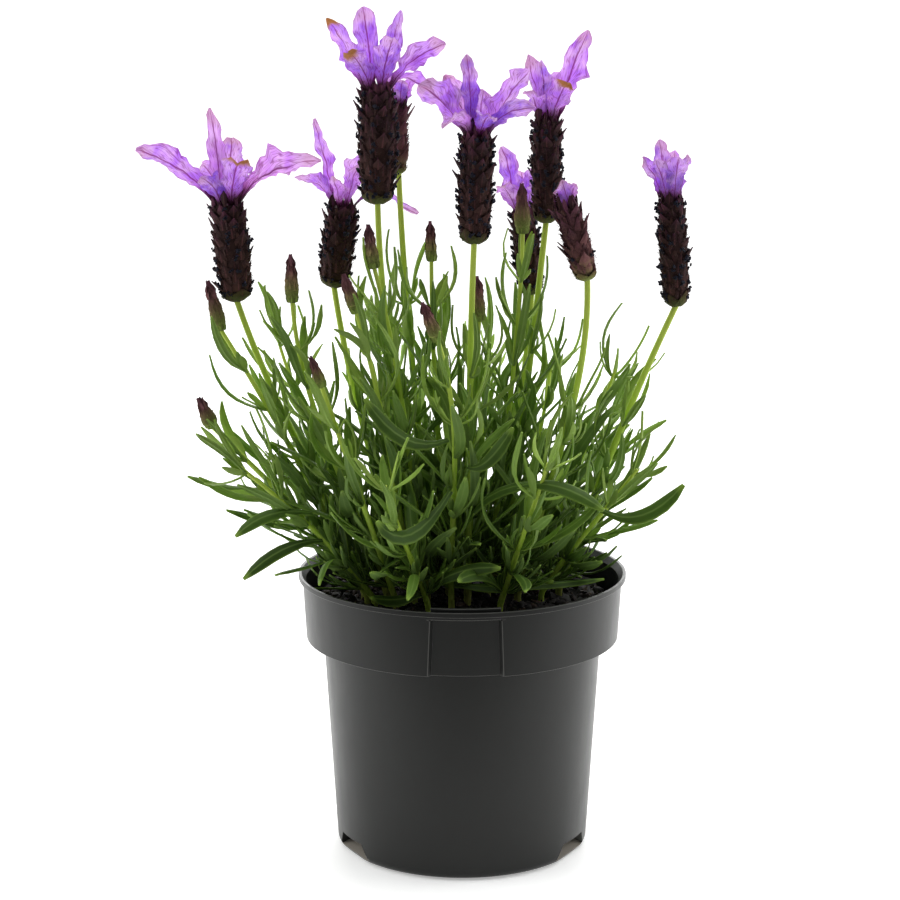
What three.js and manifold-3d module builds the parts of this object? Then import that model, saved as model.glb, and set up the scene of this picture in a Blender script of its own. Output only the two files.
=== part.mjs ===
// Potted lavender of the kind with violet bract tufts, in a charcoal nursery pot.
// Millimetres, +Z up. The origin is the centre of the pot's underside, and the pot's label recess faces -Y.
import * as THREE from "three";
import { mergeVertices } from "three/addons/utils/BufferGeometryUtils.js";
import Module from "manifold-3d";

const wasm = await Module();
wasm.setup();

// ---- driving dimensions -------------------------------------------------------------------------------------

const clearance = 0.3; // between pieces that touch on the real plant

const pot = {
  height: 120,
  lipRadius: 70,
  lipHeight: 2.6,
  lipEdge: 0.7,
  collarTopRadius: 68.3,
  collarFootRadius: 66.8,
  collarFoot: 92,
  collarEdge: 0.6,
  bodyTopRadius: 59.5,
  bodyFootRadius: 54.1,
  baseRadius: 50.4,
  cornerHeight: 4.5,
  wall: 1.4,
  floor: 2,
  innerBevelRadius: 45,
  innerBevelHeight: 11,
  sides: 36,
};

// The two label recesses in the collar, each with a low tab on the lip behind it. Angles are in degrees.
const labelRecess = {
  angles: [-90, 90],
  halfAngle: 12.4,
  cheekAngle: 1.5, // of the wall at each side of the recess
  depth: 2.3,
  roof: 116.4,
  tabHeight: 1.2,
  tabWidth: 1.6,
};

// The three drainage cuts at the pot's foot: a sloping facet with a slot in it.
const drain = {
  angles: [-150, -30, 90], // +X at 0
  halfWidth: 15,
  height: 10,
  inset: 3,
  slotHalfWidth: 6,
  slotFoot: 4.6,
  slotTop: 8.2,
  slotDepth: 10,
};

const soil = { level: 108, relief: 1.6, sides: 18, rings: 2, wallGap: 0.55 };

// The scales of a spike and of a bud: rows, scales in a row, and how far a point stands out and up.
const spikeScales = { rows: 8, around: 7, reach: 2.1, lift: 3 };
const budScales = { rows: 4, around: 4, reach: 0.5, lift: 1.4 };

// The cup under a spike or bud: height, and share of the width above it.
const cups = { flower: { height: 3.2, share: 0.62 }, bud: { height: 1.8, share: 0.52 } };

const tuft = {
  footShare: 0.66, // widths of its core at the foot and the top, as shares of the spike's
  topShare: 0.3,
  height: 4.5,
  spread: 0.3, // how far out on the spike's top the bracts stand
  rise: 0.34, // how far a bract goes along the spike's axis before it bends outward
  outward: 0.42,
  facing: 0.5, // how far its face turns to the front
  back: 0.45, // thickness behind and before its middle line
  face: 0.35,
  cupping: 0.14,
  wave: 0.16,
  wideBract: 5.5, // a bract wider than this has one section more
  sections: { at: [0, 0.6, 1], width: [0.35, 1] },
  wideSections: { at: [0, 0.42, 0.82, 1], width: [0.35, 1, 0.8] },
};

const stem = {
  sunk: 12, // how far a stem goes into the soil
  straight: 4, // and how far it stands straight above it
  spacing: 8.5, // between stem feet
  footShare: 0.46, // a stem's foot is this share of its tip's distance from the middle
  footLimit: 42,
  lowerPull: 0.3, // how far the curve's two handles reach, as shares of the distance from foot to tip
  upperPull: 0.36,
  samples: 24,
  nodeHalf: 0.9, // half the height of a leaf's foot on the stem
};

// Foot and tip sizes of the three kinds of shoot, and the lengths along them.
const kinds = {
  flower: { footSide: 3.1, tipSide: 2.3, bare: 56, pairSpacing: 13.8 },
  bud: { footSide: 2.7, tipSide: 1.6, bare: 20, pairSpacing: 13.8 },
  leafy: { footSide: 2.6, tipSide: 1.3, bare: 3, pairSpacing: 13.8 },
};

// Leaves change from the shoot's foot to its tip: long, wide and spreading, then short, narrow and upright.
const leaf = {
  firstPair: 12,
  length: [45, 29],
  width: [6, 4.2],
  angle: [70, 24],
  rise: [-0.5, 0.3],
  spread: 0.16,
  twist: 50, // degrees to either side by the tip
  crowding: 0.3, // how much closer the pairs stand towards the shoot's foot
  thickness: 1,
  longLeaf: 42, // a leaf longer than this has one section more
  sections: { at: [0, 0.17, 0.68, 1], width: [0, 0.6, 1, 0.1] }, // shares of the length and of the width
  longSections: { at: [0, 0.14, 0.42, 0.76, 1], width: [0, 0.5, 0.95, 0.9, 0.1] },
};

// What is tried, in turn, for a leaf that would meet its neighbour: swing round the stem, lift, share of length.
const detours = [
  [0, 0, 1],
  [16, 0, 1],
  [-16, 0, 1],
  [0, -14, 0.95],
  [30, 4, 0.9],
  [-30, 4, 0.9],
  [12, 14, 0.85],
  [-12, 14, 0.85],
  [38, -10, 0.75],
  [-38, -10, 0.75],
  [0, 8, 0.62],
  [22, -16, 0.55],
  [-22, -16, 0.55],
];

// Flower spikes: foot and top of the dark spike, its width, the lean of the stalk below it (x and y for each unit
// of height), and its bracts: how far each tip lies from the spike's top, and the bract's width.
const flowers = [
  { foot: [-94, -8, 238], top: [-97, -8, 278], width: 16, lean: [-0.32, 0],
    bracts: [[39, -6, 18, 10.5], [1, 15, 26, 8], [-7, 4, 39, 6], [-12, 17, 15, 7], [-38, 5, 22, 8.5],
      [6, -16, 19, 9.5], [-9, -15, 12, 7]] },
  { foot: [-55, 26, 239], top: [-51, 26, 273], width: 15, lean: [-0.14, 0.1],
    bracts: [[32, 7, -4, 8], [8, 15, 21, 7], [-12, 3, 37, 6], [-20, -5, 13, 7], [-3, -16, 14, 6],
      [7, -12, 19, 6]] },
  { foot: [-35, -12, 279], top: [-35, -12, 325], width: 16.5, lean: [-0.02, 0],
    bracts: [[28, -6, 19, 7.5], [26, 10, -5, 5], [10, 14, 31, 7], [-6, 12, 33, 7.5], [-20, -5, 29, 8.5],
      [-11, -18, 16, 8], [7, -16, 22, 9]] },
  { foot: [-27, 23, 288], top: [-27, 24, 316], width: 9, lean: [-0.04, 0.06],
    bracts: [[6, 2, 12, 5], [-2, 7, 13, 5], [-6, -2, 12, 5], [2, -6, 11, 5]] },
  { foot: [4.5, -32, 265], top: [5.5, -31, 308], width: 15, lean: [0.04, -0.1],
    bracts: [[23, -12, 12, 6], [21, 3, 26, 11], [3, 15, 17, 7], [-4, 6, 32, 5], [-13, 14, 23, 8],
      [-14, -17, 5, 6], [-23, -8, 21, 10.5], [6, -19, 9, 7]] },
  { foot: [30, 32, 235], top: [26, 31, 270], width: 12.5, lean: [0.06, 0.14],
    bracts: [[8, 9, 18, 8], [0, 15, 16, 8], [-9, 1, 28, 9], [-10, -12, 13, 7], [5, -13, 15, 6]] },
  { foot: [35, 6, 269], top: [35, 6, 311], width: 13.5, lean: [0.1, 0],
    bracts: [[17, 2, 37, 9.5], [6, 17, 19, 7.5], [-2, 13, 24, 6], [-8, 3, 27, 5], [-9, -9, 13, 7],
      [8, -14, 17, 8.5]] },
  { foot: [51, -22, 249], top: [42, -26, 279], width: 12, lean: [-0.05, -0.05],
    bracts: [[4, 1, 9, 4.5], [0, 4, 9, 4.5], [-5, 0, 6, 4.5], [-2, -4, 11, 5]] },
  { foot: [90, 4, 234], top: [87, 4, 278], width: 13, lean: [0.46, 0],
    bracts: [[7, -1, 19, 6], [2, 9, 20, 6.5], [-5, 4, 25, 6], [-12, 2, 18, 5.5], [-7, -9, 18, 6],
      [2, -10, 19, 6.5]] },
];

// Buds: foot and top, width, and the lean of the stalk below.
const buds = [
  { foot: [-70, -22, 239], top: [-70.5, -22, 258], width: 6.4, lean: [-0.06, 0] },
  { foot: [-100, -14, 226], top: [-105, -14, 246], width: 6.6, lean: [-0.6, 0] },
  { foot: [-104, -18, 186], top: [-109, -20, 198], width: 7.4, lean: [-0.95, -0.1] },
  { foot: [-36, -29, 254], top: [-38.5, -29, 271], width: 5.8, lean: [-0.26, -0.08] },
  { foot: [-13, 0, 253], top: [-13.5, 0, 269], width: 5, lean: [0, 0] },
  { foot: [-43, -38, 237], top: [-48, -38, 252], width: 6, lean: [-0.28, -0.1] },
  { foot: [-10, -52, 228], top: [-16, -54, 243], width: 6, lean: [-0.3, -0.2] },
  { foot: [7, -8, 229], top: [6, -8, 247], width: 6, lean: [0.08, 0] },
  { foot: [25, -2, 265], top: [24.5, -2, 285], width: 7.4, lean: [0.02, 0] },
  { foot: [-57, -46, 208], top: [-61, -47, 220], width: 4.6, lean: [-0.32, -0.15] },
];

// Leafy shoots: the tip and the lean there.
const leafyShoots = [
  { foot: [-91, -38, 173], lean: [-1.1, -0.35] },
  { foot: [73, -18, 168], lean: [0.7, -0.1] },
  { foot: [39, 46, 201], lean: [0.1, 0.3] },
  { foot: [-80, 36, 214], lean: [-0.3, 0.2] },
  { foot: [12, 74, 205], lean: [0.05, 0.5] },
  { foot: [66, 24, 203], lean: [0.35, 0.2] },
  { foot: [-31, -68, 172], lean: [-0.2, -0.6] },
  { foot: [-38, 72, 203], lean: [-0.2, 0.5] },
  { foot: [34, -62, 180], lean: [0.25, -0.5] },
  { foot: [-8, 52, 212], lean: [0, 0.2] },
  { foot: [66, 58, 172], lean: [0.6, 0.6] },
];

const colours = {
  plastic: 0x3b3c3c,
  soil: 0x231913,
  shoot: 0x5c8a3a,
  spike: 0x2c1a1f,
  bract: 0xa868dc,
  bud: 0x4b3340,
};

// ---- small helpers ------------------------------------------------------------------------------------------

const vec = (p) => new THREE.Vector3(...p);
const degrees = THREE.MathUtils.degToRad;
const mix = THREE.MathUtils.lerp;
const up = new THREE.Vector3(0, 0, 1);
const front = new THREE.Vector3(0, -1, 0);

// A small generator of whole numbers that gives the same draws everywhere.
function makeRandom(seed) {
  let state = seed;
  return (low, high) => {
    state = (state * 48271) % 2147483647;
    return low + ((high - low) * state) / 2147483647;
  };
}

function material(colour, roughness) {
  return new THREE.MeshStandardMaterial({ color: colour, roughness, metalness: 0 });
}

function solidOf(geometry) {
  const bare = geometry.index ? geometry.toNonIndexed() : geometry.clone();
  bare.deleteAttribute("normal");
  bare.deleteAttribute("uv");
  const merged = mergeVertices(bare, 1e-3);
  return new wasm.Manifold(
    new wasm.Mesh({
      numProp: 3,
      vertProperties: merged.attributes.position.array,
      triVerts: new Uint32Array(merged.index.array),
    }),
  );
}

function geometryOf(solid) {
  const mesh = solid.getMesh();
  return new THREE.BufferGeometry()
    .setAttribute("position", new THREE.BufferAttribute(mesh.vertProperties, 3))
    .setIndex(new THREE.BufferAttribute(mesh.triVerts, 1));
}

// A closed surface gathered from rings of points. Rings run anticlockwise seen from the end they grow towards.
class Surface {
  constructor() {
    this.points = [];
    this.faces = [];
  }
  point(p) {
    this.points.push(p.x, p.y, p.z);
    return this.points.length / 3 - 1;
  }
  ring(points) {
    return points.map((p) => this.point(p));
  }
  face(...corners) {
    for (let i = 2; i < corners.length; i++) this.faces.push(corners[0], corners[i - 1], corners[i]);
  }
  // Two rings with their corners in line.
  band(low, high, skipped = []) {
    low.forEach((a, i) => {
      const j = (i + 1) % low.length;
      if (!skipped.includes(i)) this.face(a, low[j], high[j], high[i]);
    });
  }
  // From the four corners of a stem's side (below left, below right, above right, above left) to a leaf's
  // first section (keel, right edge, left edge).
  leafFoot([belowLeft, belowRight, aboveRight, aboveLeft], [keel, right, left]) {
    this.face(belowLeft, belowRight, keel);
    this.face(belowRight, right, keel);
    this.face(belowRight, aboveRight, right);
    this.face(aboveRight, left, right);
    this.face(aboveRight, aboveLeft, left);
    this.face(aboveLeft, belowLeft, left);
    this.face(belowLeft, keel, left);
  }
  // Two diamond sections of a blade, split alike on both of its faces.
  bladeBand(low, high) {
    low.forEach((a, i) => {
      const j = (i + 1) % low.length;
      if (i % 2 === 0) this.face(a, low[j], high[j], high[i]);
      else this.face(low[j], high[j], high[i], a);
    });
  }
  cap(ring, tip) {
    ring.forEach((a, i) => this.face(a, ring[(i + 1) % ring.length], tip));
  }
  floor(ring, centre) {
    ring.forEach((a, i) => this.face(ring[(i + 1) % ring.length], a, centre));
  }
  geometry() {
    return new THREE.BufferGeometry()
      .setAttribute("position", new THREE.BufferAttribute(new Float32Array(this.points), 3))
      .setIndex(this.faces);
  }
}

// Squared distance between two line pieces p-q and r-s.
function pieceDistanceSquared(p, q, r, s) {
  const d1 = q.clone().sub(p);
  const d2 = s.clone().sub(r);
  const w = p.clone().sub(r);
  const a = d1.dot(d1);
  const e = d2.dot(d2);
  const b = d1.dot(d2);
  const c = d1.dot(w);
  const f = d2.dot(w);
  const spread = a * e - b * b;
  const clamp = (x) => Math.min(1, Math.max(0, x));
  let u = spread > 1e-9 ? clamp((b * f - c * e) / spread) : 0;
  let v = (b * u + f) / e;
  if (v < 0) {
    v = 0;
    u = clamp(-c / a);
  } else if (v > 1) {
    v = 1;
    u = clamp((b - c) / a);
  }
  return w.addScaledVector(d1, u).addScaledVector(d2, -v).lengthSq();
}

// ---- the pot ------------------------------------------------------------------------------------------------

// A solid of revolution about Z from (radius, height) pairs that start and end on the axis.
function turnedGeometry(profile, sides) {
  const points = profile.map(([r, z]) => new THREE.Vector2(r, z));
  return new THREE.LatheGeometry(points, sides).rotateX(Math.PI / 2);
}

// A piece of a ring about Z, between two radii and two heights, centred on an angle in degrees.
function ringSector(inner, outer, low, high, middle, halfAngle) {
  const from = degrees(middle - halfAngle);
  const to = degrees(middle + halfAngle);
  const outline = new THREE.Shape();
  outline.absarc(0, 0, outer, from, to, false);
  outline.absarc(0, 0, inner, to, from, true);
  const depth = high - low;
  const sector = new THREE.ExtrudeGeometry(outline, { depth, bevelEnabled: false, curveSegments: 4 });
  return solidOf(sector.translate(0, 0, low));
}

const recessFloorRadius = pot.collarFootRadius - labelRecess.depth;
const bossRadius = recessFloorRadius - pot.wall; // inside of the wall behind the recess

// The sloping cut and the slot above it through which the pot drains, at one angle round its foot.
function drainCut(angle) {
  const cut = new THREE.Shape();
  const outside = pot.bodyFootRadius + drain.inset;
  cut.moveTo(outside, drain.height + drain.inset);
  cut.lineTo(pot.bodyFootRadius, drain.height);
  cut.lineTo(pot.baseRadius - drain.inset, -clearance);
  cut.lineTo(outside, -clearance);
  cut.closePath();
  const wedge = new THREE.ExtrudeGeometry(cut, { depth: 2 * drain.halfWidth, bevelEnabled: false })
    .translate(0, 0, -drain.halfWidth)
    .rotateX(Math.PI / 2);
  const slotHeight = drain.slotTop - drain.slotFoot;
  const slot = new THREE.BoxGeometry(drain.slotDepth, 2 * drain.slotHalfWidth, slotHeight)
    .translate(outside - drain.slotDepth / 2, 0, drain.slotFoot + slotHeight / 2);
  return solidOf(wedge.rotateZ(degrees(angle))).add(solidOf(slot.rotateZ(degrees(angle))));
}

function makePot() {
  const lipFoot = pot.height - pot.lipHeight;
  const insideLip = pot.collarTopRadius - pot.wall;
  const shell = turnedGeometry(
    [
      [0, 0],
      [pot.baseRadius, 0],
      [mix(pot.baseRadius, pot.bodyFootRadius, 0.7), pot.cornerHeight * 0.3],
      [pot.bodyFootRadius, pot.cornerHeight],
      [pot.bodyTopRadius, pot.collarFoot],
      [pot.collarFootRadius - pot.collarEdge, pot.collarFoot],
      [pot.collarFootRadius, pot.collarFoot + pot.collarEdge],
      [pot.collarTopRadius, lipFoot],
      [pot.lipRadius, lipFoot + pot.lipEdge],
      [pot.lipRadius, pot.height - pot.lipEdge],
      [pot.lipRadius - pot.lipEdge, pot.height],
      [insideLip, pot.height],
      [pot.collarFootRadius - pot.wall, pot.collarFoot + pot.wall],
      [pot.bodyTopRadius - pot.wall, pot.collarFoot + pot.wall],
      [pot.bodyFootRadius - pot.wall, pot.innerBevelHeight],
      [pot.innerBevelRadius, pot.floor],
      [0, pot.floor],
    ],
    pot.sides,
  );
  let solid = solidOf(shell);
  for (const angle of labelRecess.angles) {
    const { halfAngle, cheekAngle, roof, tabHeight, tabWidth } = labelRecess;
    const boss = ringSector(
      bossRadius,
      pot.collarFootRadius - pot.collarEdge,
      pot.collarFoot + pot.wall / 2,
      pot.height - pot.wall / 2,
      angle,
      halfAngle + cheekAngle,
    );
    const cut = ringSector(recessFloorRadius, pot.lipRadius + 1, pot.collarFoot - 1, roof, angle, halfAngle);
    const tabFoot = pot.height - tabWidth;
    const tab = ringSector(insideLip - tabWidth, insideLip, tabFoot, pot.height + tabHeight, angle, halfAngle - 1);
    solid = solid.add(boss).subtract(cut).add(tab);
  }
  for (const angle of drain.angles) solid = solid.subtract(drainCut(angle));
  return solid;
}

// ---- shoots: where they stand and how they run ---------------------------------------------------------------

const shoots = [
  ...flowers.map((s) => ({ ...s, kind: "flower" })),
  ...buds.map((s) => ({ ...s, kind: "bud" })),
  ...leafyShoots.map((s) => ({ ...s, kind: "leafy" })),
];

// Feet start on the line from the pot's middle to the shoot's tip, and push each other apart.
function spreadFeet() {
  const feet = shoots.map((s) => [s.foot[0] * stem.footShare, s.foot[1] * stem.footShare]);
  for (let round = 0; round < 200; round++) {
    for (let i = 0; i < feet.length; i++) {
      for (let j = 0; j < i; j++) {
        const dx = feet[i][0] - feet[j][0];
        const dy = feet[i][1] - feet[j][1];
        const gap = Math.sqrt(dx * dx + dy * dy);
        if (gap >= stem.spacing) continue;
        const push = (0.25 * (stem.spacing - gap)) / gap;
        feet[i] = [feet[i][0] + dx * push, feet[i][1] + dy * push];
        feet[j] = [feet[j][0] - dx * push, feet[j][1] - dy * push];
      }
    }
    for (const foot of feet) {
      const out = Math.sqrt(foot[0] * foot[0] + foot[1] * foot[1]);
      if (out > stem.footLimit) {
        foot[0] *= stem.footLimit / out;
        foot[1] *= stem.footLimit / out;
      }
    }
  }
  return feet;
}

// A stem's run: points at even steps of its curve, with the distance walked at each.
function runOf(foot, shoot) {
  const low = new THREE.Vector3(foot[0], foot[1], soil.level + stem.straight);
  const tip = vec(shoot.foot);
  const reach = tip.distanceTo(low);
  const outward = new THREE.Vector3(tip.x - low.x, tip.y - low.y, 0).divideScalar(reach);
  const lower = low.clone().add(new THREE.Vector3(outward.x, outward.y, 1).multiplyScalar(stem.lowerPull * reach));
  const lean = new THREE.Vector3(shoot.lean[0], shoot.lean[1], 1).normalize();
  const upper = tip.clone().addScaledVector(lean, -stem.upperPull * reach);
  const curve = new THREE.CubicBezierCurve3(low, lower, upper, tip);
  const points = [low.clone().setZ(soil.level - stem.sunk)];
  for (let i = 0; i <= stem.samples; i++) points.push(curve.getPoint(i / stem.samples));
  const walked = [0];
  for (let i = 1; i < points.length; i++) walked.push(walked[i - 1] + points[i].distanceTo(points[i - 1]));
  return { points, walked, length: walked[walked.length - 1] };
}

// Point and direction at a distance along a run.
function along(run, distance) {
  let i = 1;
  while (i < run.points.length - 1 && run.walked[i] < distance) i++;
  const [a, b] = [run.points[i - 1], run.points[i]];
  const share = (distance - run.walked[i - 1]) / (run.walked[i] - run.walked[i - 1]);
  const before = i > 1 ? run.points[i - 2] : a;
  const after = i < run.points.length - 1 ? run.points[i + 1] : b;
  const here = b.clone().sub(a).normalize();
  const turn = share < 0.5 ? a.clone().sub(before) : after.clone().sub(b);
  if (turn.lengthSq() > 0) here.addScaledVector(turn.normalize(), Math.abs(share - 0.5)).normalize();
  return { point: a.clone().lerp(b, share), direction: here };
}

// Square cross-section of a stem: its corners, anticlockwise from above. Side i faces (side normal) i.
function stemFrame(direction, start) {
  const first = start.clone().addScaledVector(direction, -start.dot(direction)).normalize();
  const second = direction.clone().cross(first);
  return [first, second, first.clone().negate(), second.clone().negate()];
}

function stemRing(centre, normals, side) {
  return normals.map((n, i) => {
    const before = normals[(i + 3) % 4];
    return centre.clone().addScaledVector(n, side / 2).addScaledVector(before, side / 2);
  });
}

// ---- leaves: a seeded rule that keeps each one clear of the rest ----------------------------------------------

const taken = []; // line pieces with a radius that are already filled

function linePieces(points, radii, owner) {
  return points.slice(1).map((to, i) => {
    const from = points[i];
    const radius = Math.max(radii[i], radii[i + 1]);
    return { from, to, radius, owner, middle: from.clone().lerp(to, 0.5), reach: radius + from.distanceTo(to) / 2 };
  });
}

function take(points, radii, owner) {
  taken.push(...linePieces(points, radii, owner));
}

// A blade is flat, so it fills three thin lines side by side rather than one thick one.
const strands = [-0.62, 0, 0.62];
const strandShare = 0.38;

function bladePieces(line, owner) {
  const radii = line.halves.map((half) => Math.max(half * strandShare, leaf.thickness / 2));
  return strands.flatMap((strand) => {
    const points = line.points.map((p, i) => p.clone().addScaledVector(line.acrosses[i], strand * line.halves[i]));
    return linePieces(points, radii, owner).map((piece, i) => ({ ...piece, isFoot: i === 0 }));
  });
}

// Whether a point of a leaf, with a margin round it, is over the soil and either above or inside the pot's lip.
function clearOfPot(point, margin) {
  const room = bossRadius - labelRecess.tabWidth - margin;
  if (point.z < soil.level + soil.relief + margin) return false;
  if (point.z > pot.height + labelRecess.tabHeight + margin) return true;
  return Math.hypot(point.x, point.y) < room;
}

function isFree(line, pieces) {
  for (let i = 1; i < line.points.length; i++) {
    const margin = Math.max(line.halves[i - 1], line.halves[i]) / 2 + leaf.thickness;
    for (const share of [0.25, 0.5, 0.75, 1]) {
      if (!clearOfPot(line.points[i - 1].clone().lerp(line.points[i], share), margin)) return false;
    }
  }
  return pieces.every((piece) => taken.every((other) => {
    if (piece.owner === other.owner && (piece.isFoot || other.isFoot)) return true;
    if (piece.middle.distanceTo(other.middle) > piece.reach + other.reach + clearance) return true;
    const apart = piece.radius + other.radius + clearance;
    return pieceDistanceSquared(piece.from, piece.to, other.from, other.to) >= apart * apart;
  }));
}

// The middle line and half widths of a leaf that leaves a stem's side.
function leafLine(spot, detour) {
  const [swing, lift, share] = detour;
  const psi = degrees(swing);
  const alpha = degrees(spot.angle + lift);
  const length = spot.length * share;
  const side = spot.direction.clone().cross(spot.normal);
  const out = spot.normal.clone().multiplyScalar(Math.cos(psi)).addScaledVector(side, Math.sin(psi));
  const start = spot.direction.clone().multiplyScalar(Math.cos(alpha)).addScaledVector(out, Math.sin(alpha));
  const { at: stations, width: widths } = length > leaf.longLeaf ? leaf.longSections : leaf.sections;
  const points = [spot.point.clone().addScaledVector(spot.normal, spot.stemSide / 2)];
  const headings = stations.map((share) => start.clone().addScaledVector(up, spot.rise * share).normalize());
  for (let i = 1; i < stations.length; i++) {
    const heading = headings[i - 1].clone().add(headings[i]).normalize();
    points.push(points[i - 1].clone().addScaledVector(heading, length * (stations[i] - stations[i - 1])));
  }
  const halves = widths.map((w) => (w * spot.width) / 2);
  halves[0] = stem.nodeHalf;
  const level = spot.direction.clone().cross(out);
  const acrosses = headings.map((heading, i) => {
    const across = level.clone().addScaledVector(heading, -level.dot(heading)).normalize();
    return across.applyAxisAngle(heading, degrees(spot.twist) * stations[i]);
  });
  return { points, headings, halves, acrosses };
}

// Spots for leaves in opposite pairs, each pair a quarter turn from the one below.
function leafSpots(shoot, random) {
  const kind = kinds[shoot.kind];
  const from = stem.sunk + leaf.firstPair;
  const to = shoot.run.length - kind.bare;
  const pairs = Math.max(2, Math.round((to - from) / kind.pairSpacing) + 1);
  const spots = [];
  for (let pair = 0; pair < pairs; pair++) {
    const height = pair / (pairs - 1);
    const crowded = height * (1 - leaf.crowding + leaf.crowding * height);
    const distance = mix(from, to, crowded) + (pair > 0 && pair < pairs - 1 ? random(-1.5, 1.5) : 0);
    const { point, direction } = along(shoot.run, distance);
    const normals = stemFrame(direction, shoot.turn);
    const stemSide = mix(kind.footSide, kind.tipSide, distance / shoot.run.length);
    for (const face of [pair % 2, (pair % 2) + 2]) {
      spots.push({
        pair,
        face,
        distance,
        point,
        direction,
        stemSide,
        normal: normals[face],
        length: mix(...leaf.length, height) * random(1 - leaf.spread, 1 + leaf.spread),
        width: mix(...leaf.width, height) * random(1 - leaf.spread, 1 + leaf.spread),
        angle: mix(...leaf.angle, Math.sqrt(height)) + random(-7, 7),
        rise: mix(...leaf.rise, height) + random(-0.2, 0.2),
        twist: random(-leaf.twist, leaf.twist),
      });
    }
  }
  return spots;
}

// ---- spikes, buds and bracts --------------------------------------------------------------------------------

// A body of revolution about a line, covered in pointed scales: each scale is a diamond raised to a point.
function scaly(from, to, radiusAt, shape) {
  const axis = to.clone().sub(from);
  const height = axis.length();
  axis.normalize();
  const side = stemFrame(axis, new THREE.Vector3(1, 0, 0));
  const { rows, around, reach, lift } = shape;
  const place = (row, step, radius, raised) => {
    const angle = ((step + (row % 2) / 2) * 2 * Math.PI) / around;
    return from.clone()
      .addScaledVector(axis, (row / rows) * height + raised)
      .addScaledVector(side[0], radius * Math.cos(angle))
      .addScaledVector(side[1], radius * Math.sin(angle));
  };
  const surface = new Surface();
  const lattice = [];
  for (let row = 0; row <= rows; row++) {
    const radius = radiusAt(row / rows);
    lattice.push(surface.ring(Array.from({ length: around }, (_, i) => place(row, i, radius, 0))));
  }
  const at = (row, step) => lattice[row][(step + around) % around];
  for (let row = 1; row < rows; row++) {
    for (let i = 0; i < around; i++) {
      const middle = row % 2 ? i + 1 : i;
      const radius = radiusAt(row / rows) + reach;
      const point = surface.point(place(row, i + 0.5, radius, lift));
      surface.cap([at(row - 1, middle), at(row, i + 1), at(row + 1, middle), at(row, i)], point);
    }
  }
  // Half diamonds close the first and the last row.
  for (let i = 0; i < around; i++) {
    surface.face(at(0, i), at(0, i + 1), at(1, i));
    surface.face(at(rows, i + 1), at(rows, i), at(rows - 1, i));
  }
  surface.floor(lattice[0], surface.point(from));
  surface.cap(lattice[rows], surface.point(to));
  return surface.geometry();
}

// Radius of a spike's core at a share of its height: a rounded foot, then slightly slimmer to the top.
function spikeRadius(width) {
  const full = width / 2 - spikeScales.reach;
  return (t) => full * (t < 0.12 ? mix(0.72, 1, t / 0.12) : mix(1, 0.74, ((t - 0.12) / 0.88) ** 2));
}

// A bud is widest below its middle and ends in a point.
function budRadius(width) {
  const full = width / 2 - budScales.reach;
  return (t) => full * (t < 0.25 ? mix(0.66, 1, t / 0.25) : mix(1, 0.2, ((t - 0.25) / 0.75) ** 1.3));
}

// A blade of diamond section along a curved line, closed at both ends.
function bractSolid(start, bulge, tip, width, sideways) {
  const { at: stations, width: widths } = width > tuft.wideBract ? tuft.wideSections : tuft.sections;
  const curve = new THREE.QuadraticBezierCurve3(start, bulge, tip);
  const surface = new Surface();
  const rings = stations.slice(0, -1).map((share, i) => {
    const centre = curve.getPoint(share);
    const heading = curve.getTangent(share);
    const across = sideways.clone().addScaledVector(heading, -sideways.dot(heading)).normalize();
    const face = heading.clone().cross(across);
    const half = (widths[i] * width) / 2;
    const ripple = (i % 2 ? 1 : -1) * tuft.wave * widths[i] * half;
    return surface.ring([
      centre.clone().addScaledVector(face, -tuft.back),
      centre.clone().addScaledVector(across, half).addScaledVector(face, tuft.cupping * half + ripple),
      centre.clone().addScaledVector(face, tuft.face),
      centre.clone().addScaledVector(across, -half).addScaledVector(face, tuft.cupping * half - ripple),
    ]);
  });
  surface.floor(rings[0], surface.point(start));
  for (let i = 1; i < rings.length; i++) surface.bladeBand(rings[i - 1], rings[i]);
  surface.cap(rings[rings.length - 1], surface.point(tip));
  return solidOf(surface.geometry());
}

// The middle line of one bract, from the tuft's core to its tip.
function bractLine(spike, bract) {
  const top = vec(spike.top);
  const axis = top.clone().sub(vec(spike.foot)).normalize();
  const start = top.clone().addScaledVector(axis, clearance + tuft.height / 2);
  const tip = top.clone().add(vec(bract.slice(0, 3)));
  const away = tip.clone().sub(start);
  const flat = away.clone().addScaledVector(axis, -away.dot(axis));
  const bulge = start.clone()
    .addScaledVector(axis, tuft.rise * away.length())
    .addScaledVector(flat, Math.min(tuft.outward, (tuft.rise * away.length()) / flat.length()));
  start.addScaledVector(flat.normalize(), (tuft.spread * spike.width) / 2);
  return { start, bulge, tip, flat };
}

function makeTuft(spike) {
  const top = vec(spike.top);
  const axis = top.clone().sub(vec(spike.foot)).normalize();
  const half = spike.width / 2;
  const core = new THREE.CylinderGeometry(tuft.topShare * half, tuft.footShare * half, tuft.height, 6)
    .translate(0, tuft.height / 2, 0)
    .applyQuaternion(new THREE.Quaternion().setFromUnitVectors(new THREE.Vector3(0, 1, 0), axis))
    .translate(...top.clone().addScaledVector(axis, clearance).toArray());
  let solid = solidOf(core);
  for (const bract of spike.bracts) {
    const { start, bulge, tip, flat } = bractLine(spike, bract);
    // A bract twists on its foot, so that its face turns towards the front or the back.
    const around = axis.clone().cross(flat);
    const frontal = tip.clone().sub(start).cross(front).normalize();
    if (frontal.dot(around) < 0) frontal.negate();
    const sideways = around.lerp(frontal, tuft.facing);
    solid = solid.add(bractSolid(start, bulge, tip, bract[3], sideways));
  }
  return solid;
}

// ---- laying out the whole plant -----------------------------------------------------------------------------

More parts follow.
